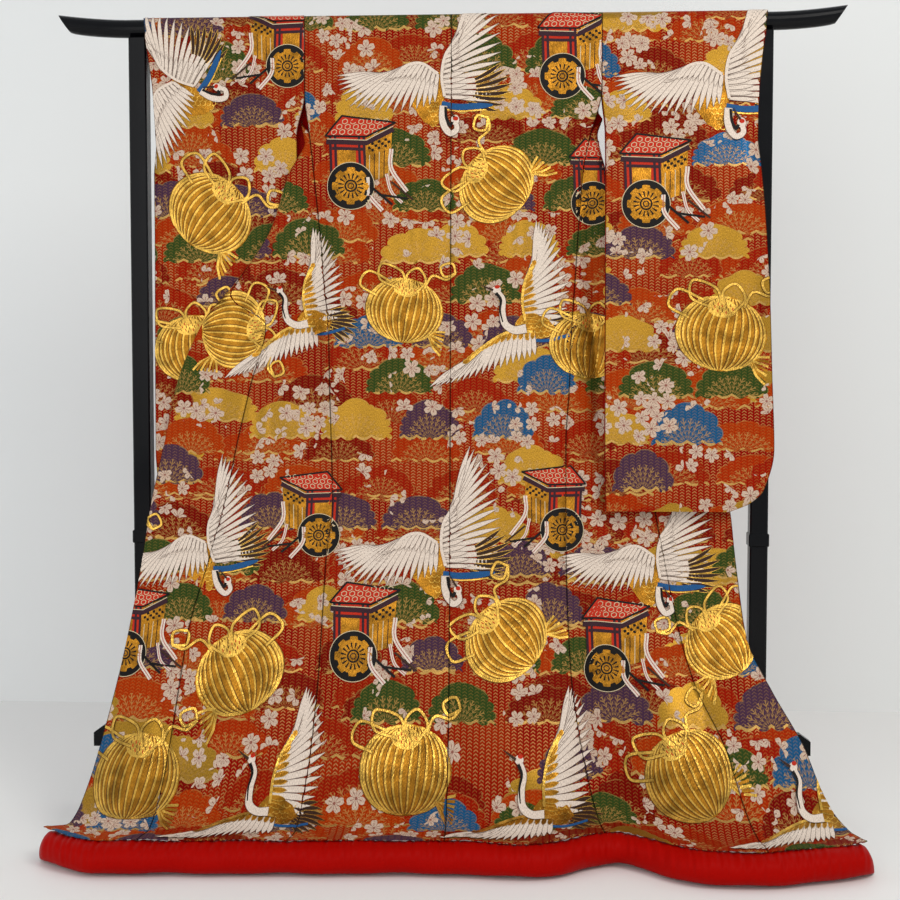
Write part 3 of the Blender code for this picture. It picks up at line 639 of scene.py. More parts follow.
def choice(tree, pick, colours):
    """One of several colours by a random number: (share of the clouds, colour) pairs."""
    ramp = tree.nodes.new("ShaderNodeValToRGB")
    ramp.color_ramp.interpolation = "CONSTANT"
    stops = ramp.color_ramp.elements
    total = 0.0
    for i, (share, colour) in enumerate(colours):
        stop = stops[i] if i < 2 else stops.new(total)
        stop.position = total
        stop.color = linear(colour)
        total += share
    tree.links.new(pick, ramp.inputs[0])
    return ramp


def blossoms(tree, place, size, least):
    """Cherry blossoms in clusters: five notched petals about the points of a Voronoi pattern."""
    cells = add(tree, "TexVoronoi", place, None, 1 / size, voronoi_dimensions="2D")
    cells.inputs["Randomness"].default_value = 0.55
    away = add(tree, "VectorMath.SUBTRACT", place, cells.outputs["Position"])
    axes = add(tree, "SeparateXYZ", away)
    random = add(tree, "SeparateXYZ", cells.outputs["Color"])
    angle = add(tree, "Math.ARCTAN2", axes.outputs[1], axes.outputs[0])
    angle = add(tree, "Math.MULTIPLY_ADD", random.outputs[0], 6.28, angle)
    reach = add(tree, "VectorMath.LENGTH", away)
    reach = add(tree, "Math.DIVIDE", reach.outputs["Value"], size)
    petal = add(tree, "Math.COSINE", add(tree, "Math.MULTIPLY", angle, 2.5))
    petal = add(tree, "Math.ABSOLUTE", petal)
    notch = add(tree, "Math.POWER", petal, 14.0)
    edge = add(tree, "Math.MULTIPLY_ADD", petal, 0.24, 0.22)
    edge = add(tree, "Math.MULTIPLY_ADD", notch, -0.05, edge)
    lies = add(tree, "Math.LESS_THAN", reach, edge)
    groups = add(tree, "TexNoise", place, None, 7.5, 2.0)
    crowd = add(tree, "Math.GREATER_THAN", groups, least)
    some = add(tree, "Math.GREATER_THAN", random.outputs[1], 0.18)
    mask = add(tree, "Math.MULTIPLY", lies, add(tree, "Math.MULTIPLY", crowd, some))
    middle = add(tree, "Math.LESS_THAN", reach, 0.060)
    line = add(tree, "Math.LESS_THAN", petal, 0.16)
    near = add(tree, "Math.LESS_THAN", reach, 0.27)
    vein = add(tree, "Math.MULTIPLY", add(tree, "Math.GREATER_THAN", petal, 0.985), near)
    between = add(tree, "Math.MULTIPLY", line, near)
    dark = add(tree, "Math.MAXIMUM", add(tree, "Math.MAXIMUM", middle, vein), between)
    return mask, dark


brocade, shader = new_material("nishijin brocade of silk and gold thread", "C22A10", 0.5)
tree = brocade.node_tree
cloth = add(tree, "UVMap", uv_map="cloth")
axes = add(tree, "SeparateXYZ", cloth)
across, up = axes.outputs[0], axes.outputs[1]
# Wheat-ear columns, 12.8 mm wide: slanting bars, 6.2 mm apart, that meet in each one's middle
columns = add(tree, "Math.DIVIDE", across, 0.0128)
aside = add(tree, "Math.SUBTRACT", add(tree, "Math.FRACT", columns), 0.5)
aside = add(tree, "Math.ABSOLUTE", aside)
start = add(tree, "Math.MULTIPLY", add(tree, "Math.FLOOR", columns), 0.382)
bar = add(tree, "Math.ADD", add(tree, "Math.DIVIDE", up, 0.0062), start)
bar = add(tree, "Math.MULTIPLY_ADD", aside, 1.5, bar)
bar = add(tree, "Math.LESS_THAN", add(tree, "Math.FRACT", bar), 0.40)
bar = add(tree, "Math.MULTIPLY", bar, add(tree, "Math.LESS_THAN", aside, 0.37))
patches = add(tree, "TexNoise", cloth, None, 5.0, 1.0)
shade = add(tree, "MapRange", patches, 0.42, 0.60, 0.0, 1.0)
base = add(tree, "MixRGB", shade, linear("A20A00"), linear("B42C00"))
wheat = add(tree, "MixRGB", patches, linear("DC9640"), linear("E2B078"))
colour = add(tree, "MixRGB", add(tree, "Math.MULTIPLY", bar, 0.62), base, wheat)
metal = add(tree, "Math.MULTIPLY", bar, 0.35)
height = bar
# Pine clouds: two layers in reds below one in green, purple, blue and gold
layers = (
    # cell's width and height, shift up, density; share and colour of each kind, gold last
    (
        (0.186, 0.084, 0.000, 0.84),
        ((0.36, "A81C02"), (0.34, "BC3002"), (0.23, "8C0A02"), (0.07, "CE9A34")),
    ),
    (
        (0.170, 0.090, 0.040, 0.66),
        ((0.38, "AC1A02"), (0.31, "C03A04"), (0.25, "860802"), (0.06, "CE9A34")),
    ),
    (
        (0.156, 0.096, 0.061, 0.54),
        ((0.33, "3A5020"), (0.24, "54364E"), (0.20, "22608E"), (0.23, "CE9A34")),
    ),
)
broken = add(tree, "Math.GREATER_THAN", add(tree, "TexNoise", cloth, None, 42.0, 1.0), 0.46)
for seed, ((cell, row, shift, density), colours) in enumerate(layers, 1):
    mask, outline, hatch, pick = pine_clouds(tree, across, up, cell, row, shift, seed, density)
    fill = choice(tree, pick, colours)
    gold = add(tree, "Math.GREATER_THAN", pick, 1 - colours[-1][0])
    fill = add(tree, "MixRGB", add(tree, "Math.MULTIPLY", hatch, 0.55), fill, linear("DCA85C"))
    fill = add(tree, "MixRGB", add(tree, "Math.MULTIPLY", bar, 0.16), fill, linear("E0A850"))
    outline = add(tree, "Math.MULTIPLY", outline, broken)
    fill = add(tree, "MixRGB", outline, fill, linear("E0B060"))
    colour = add(tree, "MixRGB", mask, colour, fill)
    gold = add(tree, "Math.MULTIPLY", gold, 0.75)
    shiny = add(tree, "Math.MAXIMUM", add(tree, "Math.MULTIPLY", outline, 0.6), gold)
    metal = add(tree, "MixRGB", mask, metal, shiny)
    raised = add(tree, "Math.MAXIMUM", add(tree, "Math.MULTIPLY", outline, 1.6), hatch)
    height = add(tree, "MixRGB", mask, height, add(tree, "Math.ADD", raised, 0.6))
# Cherry blossoms, 45 and 37 mm apart, in cream with dark red veins
for size, least, off in ((0.045, 0.555, (0.0, 0.0, 0.0)), (0.037, 0.575, (0.31, 0.17, 0.0))):
    moved = add(tree, "VectorMath.ADD", cloth, off)
    mask, dark = blossoms(tree, moved, size, least)
    dark = add(tree, "Math.MULTIPLY", dark, 0.75)
    petals = add(tree, "MixRGB", dark, linear("EACCB2"), linear("8E1208"))
    colour = add(tree, "MixRGB", mask, colour, petals)
    metal = add(tree, "MixRGB", mask, metal, (0, 0, 0, 1))
    height = add(tree, "MixRGB", mask, height, (1.8, 1.8, 1.8, 1))
# Thread by thread the silk takes the light unevenly. Real threads are 0.1 to 0.3 mm apart; the
# grain is 1.1 mm, as fine as the render shows
along = add(tree, "VectorMath.MULTIPLY", cloth, (1.0, 0.35, 1.0))
grain = add(tree, "TexNoise", along, None, 900.0, 2.0)
glint = add(tree, "MapRange", grain, 0.30, 0.70, 0.38, 0.88)
# Painted seam shadow: each piece's edge turns under at its seam, and over its last 2 mm the colour
# is darkened to paint the dark line of shade there
edges = add(tree, "SeparateXYZ", add(tree, "UVMap", uv_map="edges"))
turned = add(tree, "MapRange", edges.outputs[0], 0.0006, 0.0022, 0.22, 1.0)
colour = add(tree, "VectorMath.MULTIPLY", colour, add(tree, "Math.MULTIPLY", glint, turned))
tree.links.new(colour.outputs[0], shader.inputs["Base Color"])
tree.links.new(metal.outputs[0], shader.inputs["Metallic"])
rough = add(tree, "Math.MULTIPLY_ADD", metal, -0.24, 0.55)
tree.links.new(rough.outputs[0], shader.inputs["Roughness"])
relief = add(tree, "Math.MULTIPLY_ADD", grain, 0.8, height)
bump = add(tree, "Bump", 0.75, 0.0005)
tree.links.new(relief.outputs[0], bump.inputs["Height"])
tree.links.new(bump.outputs[0], shader.inputs["Normal"])
shader.inputs["Specular IOR Level"].default_value = 0.03

# The lining: plain scarlet silk, with the faint unevenness of a fine plain weave
lining, shader = new_material("scarlet habutae lining silk", "9E0400", 0.50)
tree = lining.node_tree
place = add(tree, "TexCoord")
weave = add(tree, "TexNoise", place.outputs["Object"], None, 500.0, 2.0)
bump = add(tree, "Bump", 0.35, 0.0004)
tree.links.new(weave.outputs[0], bump.inputs["Height"])
tree.links.new(bump.outputs[0], shader.inputs["Normal"])
shader.inputs["Specular IOR Level"].default_value = 0.04

# The motifs' threads: floss silk and gold leaf on paper, each in its own colour, laid in long
# floats that take the light unevenly
THREADS = {
    # name: colour, roughness, metallic
    "white": ("EAD8C6", 0.46, 0.0),
    "cream": ("D9C49C", 0.46, 0.0),
    "ash": ("755F54", 0.50, 0.0),
    "rose": ("B5605C", 0.50, 0.0),
    "black": ("15110F", 0.42, 0.0),
    "umber": ("40291C", 0.46, 0.0),
    "gold": ("B47A22", 0.34, 0.75),
    "pale_gold": ("E8B650", 0.28, 0.85),
    "old_gold": ("7A5222", 0.42, 0.6),
    "vermilion": ("C42C12", 0.48, 0.0),
    "purple": ("3A2028", 0.48, 0.0),
    "blue": ("1F568A", 0.46, 0.0),
}
thread_materials = []
for name, (code, roughness, metallic) in THREADS.items():
    title = name.replace("_", " ") + (" thread" if metallic else " embroidery silk")
    material, shader = new_material(title, code, roughness, metallic)
    tree = material.node_tree
    cloth = add(tree, "UVMap", uv_map="cloth")
    along = add(tree, "VectorMath.MULTIPLY", cloth, (1.0, 0.3, 1.0))
    floats = add(tree, "TexNoise", along, None, 800.0, 2.0)
    uneven = add(tree, "MapRange", floats, 0.3, 0.7, 0.62, 1.05)
    if metallic:
        # Patches where the foil has turned to the light or away from it
        turned = add(tree, "TexNoise", cloth, None, 38.0, 3.0)
        turned = add(tree, "MapRange", turned, 0.35, 0.65, 0.62, 1.35)
        uneven = add(tree, "Math.MULTIPLY", uneven, turned)
    tint = add(tree, "VectorMath.MULTIPLY", linear(code)[:3], uneven)
    tree.links.new(tint.outputs[0], shader.inputs["Base Color"])
    # Couched in short stitches, so that the light breaks up on it
    short = add(tree, "VectorMath.MULTIPLY", cloth, (1.0, 0.45, 1.0))
    stitches = add(tree, "TexVoronoi", short, None, 420.0)
    relief = add(tree, "Math.MULTIPLY_ADD", stitches.outputs[0], 1.4 if metallic else 0.3, floats)
    bump = add(tree, "Bump", 0.9 if metallic else 0.6, 0.0006)
    tree.links.new(relief.outputs[0], bump.inputs["Height"])
    tree.links.new(bump.outputs[0], shader.inputs["Normal"])
    shader.inputs["Specular IOR Level"].default_value = 0.12
    thread_materials.append(material)
colour_index = {name: i for i, name in enumerate(THREADS)}


# The motifs' shapes, drawn flat in metres: each is a list of (points, triangles, colour, lift)
def strip(left, right, colour, lift):
    """The surface between two lines of as many points, its left and its right edge."""
    n = len(left)
    i = np.arange(n - 1)
    one, other = [i, i + n, i + n + 1], [i, i + n + 1, i + 1]
    faces = np.concatenate([np.stack(one, 1), np.stack(other, 1)])
    return np.concatenate([left, right]), faces, colour, lift


def band(path, width, colour, lift):
    """A ribbon along a path of points; the width may change along it."""
    path = np.asarray(path, float)
    ahead = np.gradient(path, axis=0)
    ahead /= np.maximum(np.linalg.norm(ahead, axis=1, keepdims=True), 1e-9)
    aside = np.stack([-ahead[:, 1], ahead[:, 0]], axis=1)
    half = np.broadcast_to(np.asarray(width, float) / 2, len(path))[:, None]
    return strip(path + aside * half, path - aside * half, colour, lift)


def curve(points, steps=7):
    """A smooth line through a few points: each pair is joined by a Catmull-Rom arc."""
    p = np.asarray(points, float)
    p = np.concatenate([[2 * p[0] - p[1]], p, [2 * p[-1] - p[-2]]])
    t = np.linspace(0, 1, steps, endpoint=False)[:, None]
    arcs = []
    for a, b, c, d in zip(p[:-3], p[1:-2], p[2:-1], p[3:]):
        square = (2 * a - 5 * b + 4 * c - d) * t**2
        arcs.append(0.5 * (2 * b + (c - a) * t + square + (3 * b - a - 3 * c + d) * t**3))
    return np.concatenate(arcs + [p[-2:-1]])


def patch(outline, middle, colour, lift):
    """A filled outline, in rings 11 mm wide about a middle point, so that it can follow folds."""
    outline = np.asarray(outline, float)
    middle = np.asarray(middle, float)
    rings = max(1, int(np.ceil(np.linalg.norm(outline - middle, axis=1).max() / 0.011)))
    n = len(outline)
    shares = np.arange(1, rings + 1)[:, None, None] / rings
    points = np.concatenate([middle[None], (middle + (outline - middle) * shares).reshape(-1, 2)])
    i = np.arange(n)
    j = np.roll(i, -1)
    faces = [np.stack([np.zeros(n, int), 1 + i, 1 + j], 1)]
    for a in 1 + n * np.arange(rings - 1):
        faces.append(np.stack([a + i, a + n + i, a + n + j], 1))
        faces.append(np.stack([a + i, a + n + j, a + j], 1))
    return points, np.concatenate(faces), colour, lift


def around(middle, wide, tall, count=36, turn=0.0):
    """The points of an ellipse about a middle, turned by an angle."""
    angle = np.linspace(0, 2 * math.pi, count, endpoint=False)
    x, y = wide * np.cos(angle), tall * np.sin(angle)
    c, s = math.cos(turn), math.sin(turn)
    return np.stack([middle[0] + x * c - y * s, middle[1] + x * s + y * c], 1)


def spot(middle, wide, tall, count, colour, lift):
    """A filled ellipse."""
    return patch(around(middle, wide, tall, count), middle, colour, lift)


def ring(middle, wide, tall, count, width, colour, lift, turn=0.0):
    """A ribbon round an ellipse, or round a polygon where its points are few."""
    line = around(middle, wide, tall, count, turn)
    return band(np.concatenate([line, line[:1]]), width, colour, lift)


def feather(root, angle, length, width, colour, lift, bend, quill):
    """A feather: a blade that bends along its length to a round tip, with edges and a quill."""
    count = max(7, int(length / 0.007))
    t = np.linspace(0, 1, count)
    turn = angle + bend * t
    step = np.stack([np.cos(turn), np.sin(turn)], 1) * length / (count - 1)
    path = np.asarray(root) + np.concatenate([np.zeros((1, 2)), np.cumsum(step[:-1], axis=0)])
    tip = np.clip(1 - np.clip((t - 0.50) / 0.50, 0, 1) ** 2, 0.06, 1)
    full = width * (0.55 + 0.45 * np.sqrt(t)) * tip
    half = (full / 2)[:, None] * np.stack([-np.sin(turn), np.cos(turn)], 1)
    within = half * np.maximum(1 - 0.0016 / full, 0.4)[:, None]
    rim, middle = ("ash", "ash") if colour == "white" else ("pale_gold", "black")
    # Blade and edges lie side by side in one surface, so that neither shows through the other
    shapes = [
        strip(path + half, path + within, rim, lift),
        strip(path + within, path - within, colour, lift),
        strip(path - within, path - half, rim, lift),
    ]
    return shapes + ([band(path[1:-2], 0.0007, middle, lift + 0.0001)] if quill else [])


def wing(edge, angles, lengths, width, count, colour, lift, bend, quill=False):
    """A row of feathers rooted along an edge; the tables of angle and length run along it."""
    line = curve(edge, 12)
    spots = np.linspace(0, 1, len(line))
    shapes = []
    for i, share in enumerate(np.linspace(0, 1, count)):
        root = [np.interp(share, spots, line[:, 0]), np.interp(share, spots, line[:, 1])]
        angle = math.radians(np.interp(share, np.linspace(0, 1, len(angles)), angles))
        length = np.interp(share, np.linspace(0, 1, len(lengths)), lengths)
        shapes += feather(root, angle, length, width, colour, lift + 0.00006 * i, bend, quill)
    return shapes


def scales(places, lift):
    """Small body feathers: a half ring of gold thread at each place."""
    t = np.linspace(math.pi, 2 * math.pi, 6)
    half_ring = 0.0056 * np.stack([np.cos(t), np.sin(t)], 1)
    return [band(half_ring + place, 0.0013, "pale_gold", lift) for place in places]


def neck_and_head(lift, neck, throat, head, crown, bill):
    """A crane's neck and head: white over a thin dark edge, a black throat, a scarlet crown.

    Neck, throat and bill are each a line and its widths, head and crown a middle and half sizes.
    """
    white = curve(neck[0])
    wide = np.linspace(*neck[1], len(white))
    black = curve(throat[0])
    return [
        band(white, wide + 0.0015, "ash", lift),
        band(white, wide, "white", lift + 0.0001),
        band(black, np.linspace(*throat[1], len(black)), "black", lift + 0.0003),
        spot(head[0], *head[1], 20, "white", lift + 0.0002),
        spot(crown[0], *crown[1], 14, "vermilion", lift + 0.0004),
        band(*bill, "umber", lift + 0.0005),
    ]


def crane():
    """A crane in flight: one wing swept low, one raised, a gold body and a curled neck."""
    tail = [(0.060, -0.012), (0.076, 0.010), (0.074, 0.036)]
    raised = [(0.010, 0.000), (0.004, 0.044), (0.012, 0.088), (0.036, 0.122)]
    low = [(-0.094, 0.044), (-0.070, 0.066), (-0.038, 0.070), (-0.004, 0.048)]
    flank = (
        (0.004, 0.052), (0.010, 0.020), (0.008, -0.020), (0.002, -0.052), (-0.012, -0.064),
        (-0.034, -0.052), (-0.050, -0.030), (-0.064, -0.010), (-0.040, 0.020), (-0.012, 0.052),
    )
    # The flank's scales, in offset rows, where its slanting shape lets them lie
    grid = [
        (-0.058 + 0.011 * k + 0.0055 * (row % 2), -0.058 + 0.0105 * row)
        for row in range(10)
        for k in range(6)
    ]
    on_flank = [
        (x, y)
        for x, y in grid
        if abs(x + 0.014 + 0.30 * y) < 0.018 + 0.10 * min(y + 0.066, 0.0) and x < 0.002
    ]
    under_tail = curve([(0.004, -0.016), (0.044, -0.022), (0.112, -0.018)])
    below = curve([(0.000, -0.025), (0.044, -0.031), (0.098, -0.028)])
    neck = (
        (0.008, -0.020), (0.006, -0.044), (0.010, -0.064), (0.022, -0.078), (0.036, -0.070),
        (0.034, -0.052),
    )
    throat = ((0.012, -0.022), (0.014, -0.046), (0.022, -0.062), (0.027, -0.054))
    bill = ((0.031, -0.044), (0.024, -0.032), (0.018, -0.020))
    inner_raised = [(x + 0.001, y) for x, y in raised]
    inner_low = [(x, y - 0.001) for x, y in low]
    return [
        *wing(tail, (-24, -2, 24), (0.066, 0.080, 0.066), 0.0110, 8, "umber", 0.0006, 0.30, True),
        band(under_tail, [0.013] * 12 + [0.011, 0.008, 0.003], "blue", 0.0014),
        band(below, 0.0028, "pale_gold", 0.0015),
        *wing(raised, (-2, 20, 46, 76), (0.096, 0.130, 0.146, 0.128),
              0.0125, 17, "white", 0.0007, -0.16),
        *wing(inner_raised, (-4, 14, 34, 60), (0.052, 0.050, 0.036, 0.022),
              0.0110, 14, "white", 0.0019, 0.06),
        band(curve(raised, 8), 0.0060, "white", 0.0029),
        patch(flank, (-0.016, -0.006), "gold", 0.0009),
        *scales(on_flank, 0.0011),
        *wing(low, (172, 208, 232, 258), (0.124, 0.148, 0.120, 0.060),
              0.0125, 19, "white", 0.0009, 0.26),
        *wing(inner_low, (196, 216, 236, 258), (0.028, 0.044, 0.040, 0.026),
              0.0110, 15, "white", 0.0022, 0.08),
        band(curve(low, 8), 0.0060, "white", 0.0032),
        *neck_and_head(
            0.0034,
            neck=(neck, (0.0150, 0.0090)),
            throat=(throat, (0.0050, 0.0065)),
            head=((0.033, -0.050), (0.0085, 0.0105)),
            crown=((0.034, -0.047), (0.0052, 0.0044)),
            bill=(bill, [0.0050, 0.0034, 0.0010]),
        ),
    ]


def alighting_crane():
    """A crane coming down: head and one wing raised, the other wing laid out low in front."""
    tail = [(0.044, 0.004), (0.054, -0.012), (0.046, -0.028)]
    raised = [(0.002, 0.006), (0.002, 0.044), (0.012, 0.080), (0.032, 0.108)]
    low = [(0.014, -0.016), (-0.030, -0.010), (-0.074, -0.026), (-0.112, -0.052)]
    belly = (
        (-0.014, 0.008), (-0.004, 0.018), (0.018, 0.018), (0.044, 0.006), (0.056, -0.014),
        (0.040, -0.030), (0.010, -0.034), (-0.014, -0.024), (-0.022, -0.006),
    )
    on_belly = [
        (-0.010 + 0.011 * k + 0.0055 * (row % 2), 0.006 - 0.010 * row)
        for row in range(4)
        for k in range(6)
    ]
    under_tail = curve([(0.006, -0.030), (0.038, -0.036), (0.080, -0.032)])
    neck = (
        (0.002, -0.008), (-0.020, -0.008), (-0.036, 0.006), (-0.038, 0.030), (-0.034, 0.052),
        (-0.042, 0.070),
    )
    throat = ((-0.040, 0.010), (-0.042, 0.032), (-0.038, 0.052), (-0.045, 0.066))
    bill = ((-0.049, 0.072), (-0.060, 0.078), (-0.072, 0.085))
    return [
        *wing(tail, (14, -12, -44), (0.048, 0.060, 0.046), 0.0105, 8, "umber", 0.0006, -0.25, True),
        band(under_tail, 0.0060, "blue", 0.0016),
        *wing(raised, (-14, 14, 46, 76), (0.072, 0.098, 0.102, 0.084),
              0.0125, 17, "white", 0.0008, 0.10),
        *wing(raised, (-14, 10, 40, 66), (0.028, 0.028, 0.022, 0.010),
              0.0100, 12, "gold", 0.0019, 0.06),
        band(curve(raised, 8), 0.0050, "pale_gold", 0.0028),
        patch(belly, (0.016, -0.008), "gold", 0.0012),
        *scales(on_belly, 0.0014),
        *wing(low, (264, 244, 224, 202), (0.044, 0.070, 0.084, 0.090),
              0.0125, 19, "white", 0.0017, 0.16),
        *wing(low, (258, 236, 214, 196), (0.014, 0.020, 0.020, 0.014),
              0.0100, 14, "gold", 0.0029, 0.06),
        band(curve(low, 8), 0.0050, "pale_gold", 0.0038),
        *neck_and_head(
            0.0040,
            neck=(neck, (0.0160, 0.0075)),
            throat=(throat, (0.0020, 0.0060)),
            head=((-0.043, 0.072), (0.0080, 0.0068)),
            crown=((-0.041, 0.077), (0.0048, 0.0034)),
            bill=(bill, [0.0046, 0.0032, 0.0010]),
        ),
    ]


def wheel(middle, radius):
    """A cart's wheel: a black tyre about a notched gold disc, with short spokes and a hub."""
    angle = np.linspace(0, 2 * math.pi, 96, endpoint=False)
    directions = np.stack([np.cos(angle), np.sin(angle)], 1)
    lobed = radius * np.where(np.cos(8 * angle) > -0.35, 0.80, 0.68)
    shapes = [
        spot(middle, radius * 1.03, radius * 1.03, 40, "cream", 0.0013),
        spot(middle, radius, radius, 40, "black", 0.0014),
        patch(middle + lobed[:, None] * directions, middle, "gold", 0.0015),
    ]
    for k in range(16):
        a = (k + 0.5) * math.pi / 8
        out = np.array([[0.30], [0.42], [0.54]]) * radius * np.array([math.cos(a), math.sin(a)])
        shapes.append(band(out + middle, radius * np.array([0.03, 0.06, 0.08]), "black", 0.0017))
    for inner, outer, colour in ((0.20, 0.27, "black"), (0.09, 0.14, "umber")):
        reach = radius * (inner + outer) / 2
        shapes.append(ring(middle, reach, reach, 24, radius * (outer - inner), colour, 0.0018))
    return shapes


def board(corners, colour, lift):
    """A flat board of the cart, from its corners, with points along its sides."""
    corners = np.asarray(corners, float)
    after = np.roll(corners, -1, 0)
    sides = [np.linspace(a, b, 6, endpoint=False) for a, b in zip(corners, after)]
    return patch(np.concatenate(sides), corners.mean(0), colour, lift)


def beam(points, width, colour, lift):
    """A straight beam from point to point."""
    points = np.asarray(points, float)
    runs = [np.linspace(a, b, 7) for a, b in zip(points[:-1], points[1:])]
    return band(np.concatenate(runs), width, colour, lift)


def cart():
    """A court carriage seen from a corner: lattice roof, dark beams, gold blinds, one wheel."""
    roof = [(-0.084, 0.047), (0.000, 0.045), (0.058, 0.073), (-0.050, 0.087), (-0.084, 0.047)]
    shapes = [
        board([(-0.07, -0.04), (-0.006, -0.04), (0.0, 0.052), (-0.074, 0.052)],
              "vermilion", 0.0007),
        board([(-0.004, -0.048), (0.046, -0.034), (0.052, 0.062), (-0.002, 0.050)], "gold", 0.0007),
        board([(-0.058, -0.036), (-0.022, -0.036), (-0.022, 0.02), (-0.06, 0.02)], "gold", 0.0009),
        board([(-0.082, 0.048), (0.0, 0.046), (0.056, 0.074), (-0.05, 0.086)], "vermilion", 0.0012),
        beam(roof, 0.0036, "black", 0.0015),
        beam([(-0.082, 0.036), (0.000, 0.033), (0.054, 0.060)], 0.0105, "purple", 0.0014),
        beam([(-0.080, 0.041), (0.000, 0.038), (0.054, 0.066)], 0.0016, "cream", 0.0016),
        beam([(-0.070, 0.022), (-0.006, 0.020)], 0.0060, "purple", 0.0013),
        beam([(0.012, -0.058), (0.052, -0.092)], 0.0048, "black", 0.0018),
        beam([(0.026, -0.072), (0.084, -0.080)], 0.0042, "black", 0.0018),
        beam([(0.050, -0.046), (0.094, -0.082)], 0.0038, "umber", 0.0018),
        beam([(-0.076, -0.042), (0.004, -0.050)], 0.0060, "black", 0.0011),
        *wheel((-0.032, -0.054), 0.047),
    ]
    for x in (-0.074, -0.064, -0.016, -0.006):
        shapes.append(beam([(x, 0.046), (x + 0.003, -0.040)], 0.0050, "purple", 0.0011))
    # The roof's lattice of six-sided rings
    for row in range(3):
        for k in range(6):
            x, y = -0.066 + 0.0165 * k + 0.0110 * row, 0.0545 + 0.0105 * row
            if x < 0.010 + 1.7 * (y - 0.046):
                shapes.append(ring((x, y), 0.006, 0.0048, 6, 0.0015, "cream", 0.0013, math.pi / 6))
    # Blinds with a check along the top, hung over the front
    for row in range(3):
        for k in range(7):
            if (row + k) % 2:
                x, y = 0.003 + 0.0066 * k, 0.028 - 0.0064 * row + 0.0020 * k
                shapes.append(beam([(x, y), (x + 0.0052, y + 0.0016)], 0.0050, "black", 0.0013))
    for k in range(5):
        x = 0.006 + 0.0100 * k
        ends = [(x, 0.008 + 0.003 * k), (x - 0.001, -0.046 + 0.0028 * k)]
        shapes.append(beam(ends, 0.0016, "umber" if k % 2 else "cream", 0.0012))
    # Ribbons that hang from the shafts
    for start, bend, end, wide in (
        ((0.050, 0.020), (0.050, -0.020), (0.082, -0.066), 0.0085),
        ((0.002, -0.036), (0.004, -0.070), (0.032, -0.104), 0.0085),
        ((0.040, -0.030), (0.050, -0.066), (0.072, -0.088), 0.0060),
    ):
        ribbon = curve([start, bend, end], 8)
        shapes.append(band(ribbon, wide, "white", 0.0015))
        shapes.append(band(ribbon, 0.0014, "rose", 0.0017))
    return shapes


def bell():
    """A great round bell: gold ribs from its crown to its mouth, cord loops and a tassel."""
    deep, wide = 0.072, 0.088
    shapes = [spot((0, 0), deep, wide, 44, "gold", 0.0008)]
    t = np.linspace(-0.5, 0.5, 22) * math.pi
    for k in range(-8, 9):
        share = math.sin(k / 8.6 * math.pi / 2)
        x = deep * np.sin(t)
        y = wide * share * np.cos(t) + 0.008 * np.cos(2 * t) * (1 - share**2)
        line = np.stack([x, y], 1)[(x / deep) ** 2 + (y / wide) ** 2 < 0.985]
        if len(line) > 3:
            thick = np.interp(np.abs(line[:, 0]), (0.0, deep), (0.0044, 0.0022))
            shapes.append(band(line + (0.0, 0.0030), 0.0018, "old_gold", 0.0010))
            shapes.append(band(line, thick, "pale_gold", 0.0012 + 0.00002 * k))
    # The crown, in short stitches on a spiral
    crown = np.array([0.048, 0.006])
    shapes.append(spot(crown, 0.018, 0.028, 26, "pale_gold", 0.0015))
    for k in range(18):
        a = 2.4 * k
        out = np.array([0.014 * math.cos(a), 0.023 * math.sin(a)]) * math.sqrt((k + 0.5) / 18)
        stitch = crown + out + [(0.0, 0.0), (0.0030, 0.0016), (0.0056, 0.0010)]
        shapes.append(band(stitch, 0.0018, "old_gold" if k % 3 else "vermilion", 0.0017))
    for points in (
        ((0.046, 0.024), (0.058, 0.068), (0.092, 0.070), (0.084, 0.024), (0.054, 0.008)),
        ((0.040, -0.014), (0.072, -0.034), (0.098, -0.012), (0.080, 0.010), (0.052, 0.004)),
        ((0.020, 0.066), (0.036, 0.108), (0.070, 0.096), (0.058, 0.044)),
        ((0.056, -0.034), (0.088, -0.046), (0.086, -0.078), (0.104, -0.096)),
        ((0.104, -0.096), (0.124, -0.084), (0.112, -0.060), (0.092, -0.072), (0.104, -0.096)),
    ):
        shapes.append(band(curve(points), 0.0062, "old_gold", 0.0015))
        shapes.append(band(curve(points), 0.0044, "pale_gold", 0.0018))
    # The tassel's strands
    for k in range(-3, 4):
        strand = [(-0.040, -0.062), (-0.050 + 0.006 * k, -0.080), (-0.056 + 0.009 * k, -0.100)]
        shapes.append(band(strand, 0.0046, "pale_gold" if k % 2 else "gold", 0.0009))
    return shapes


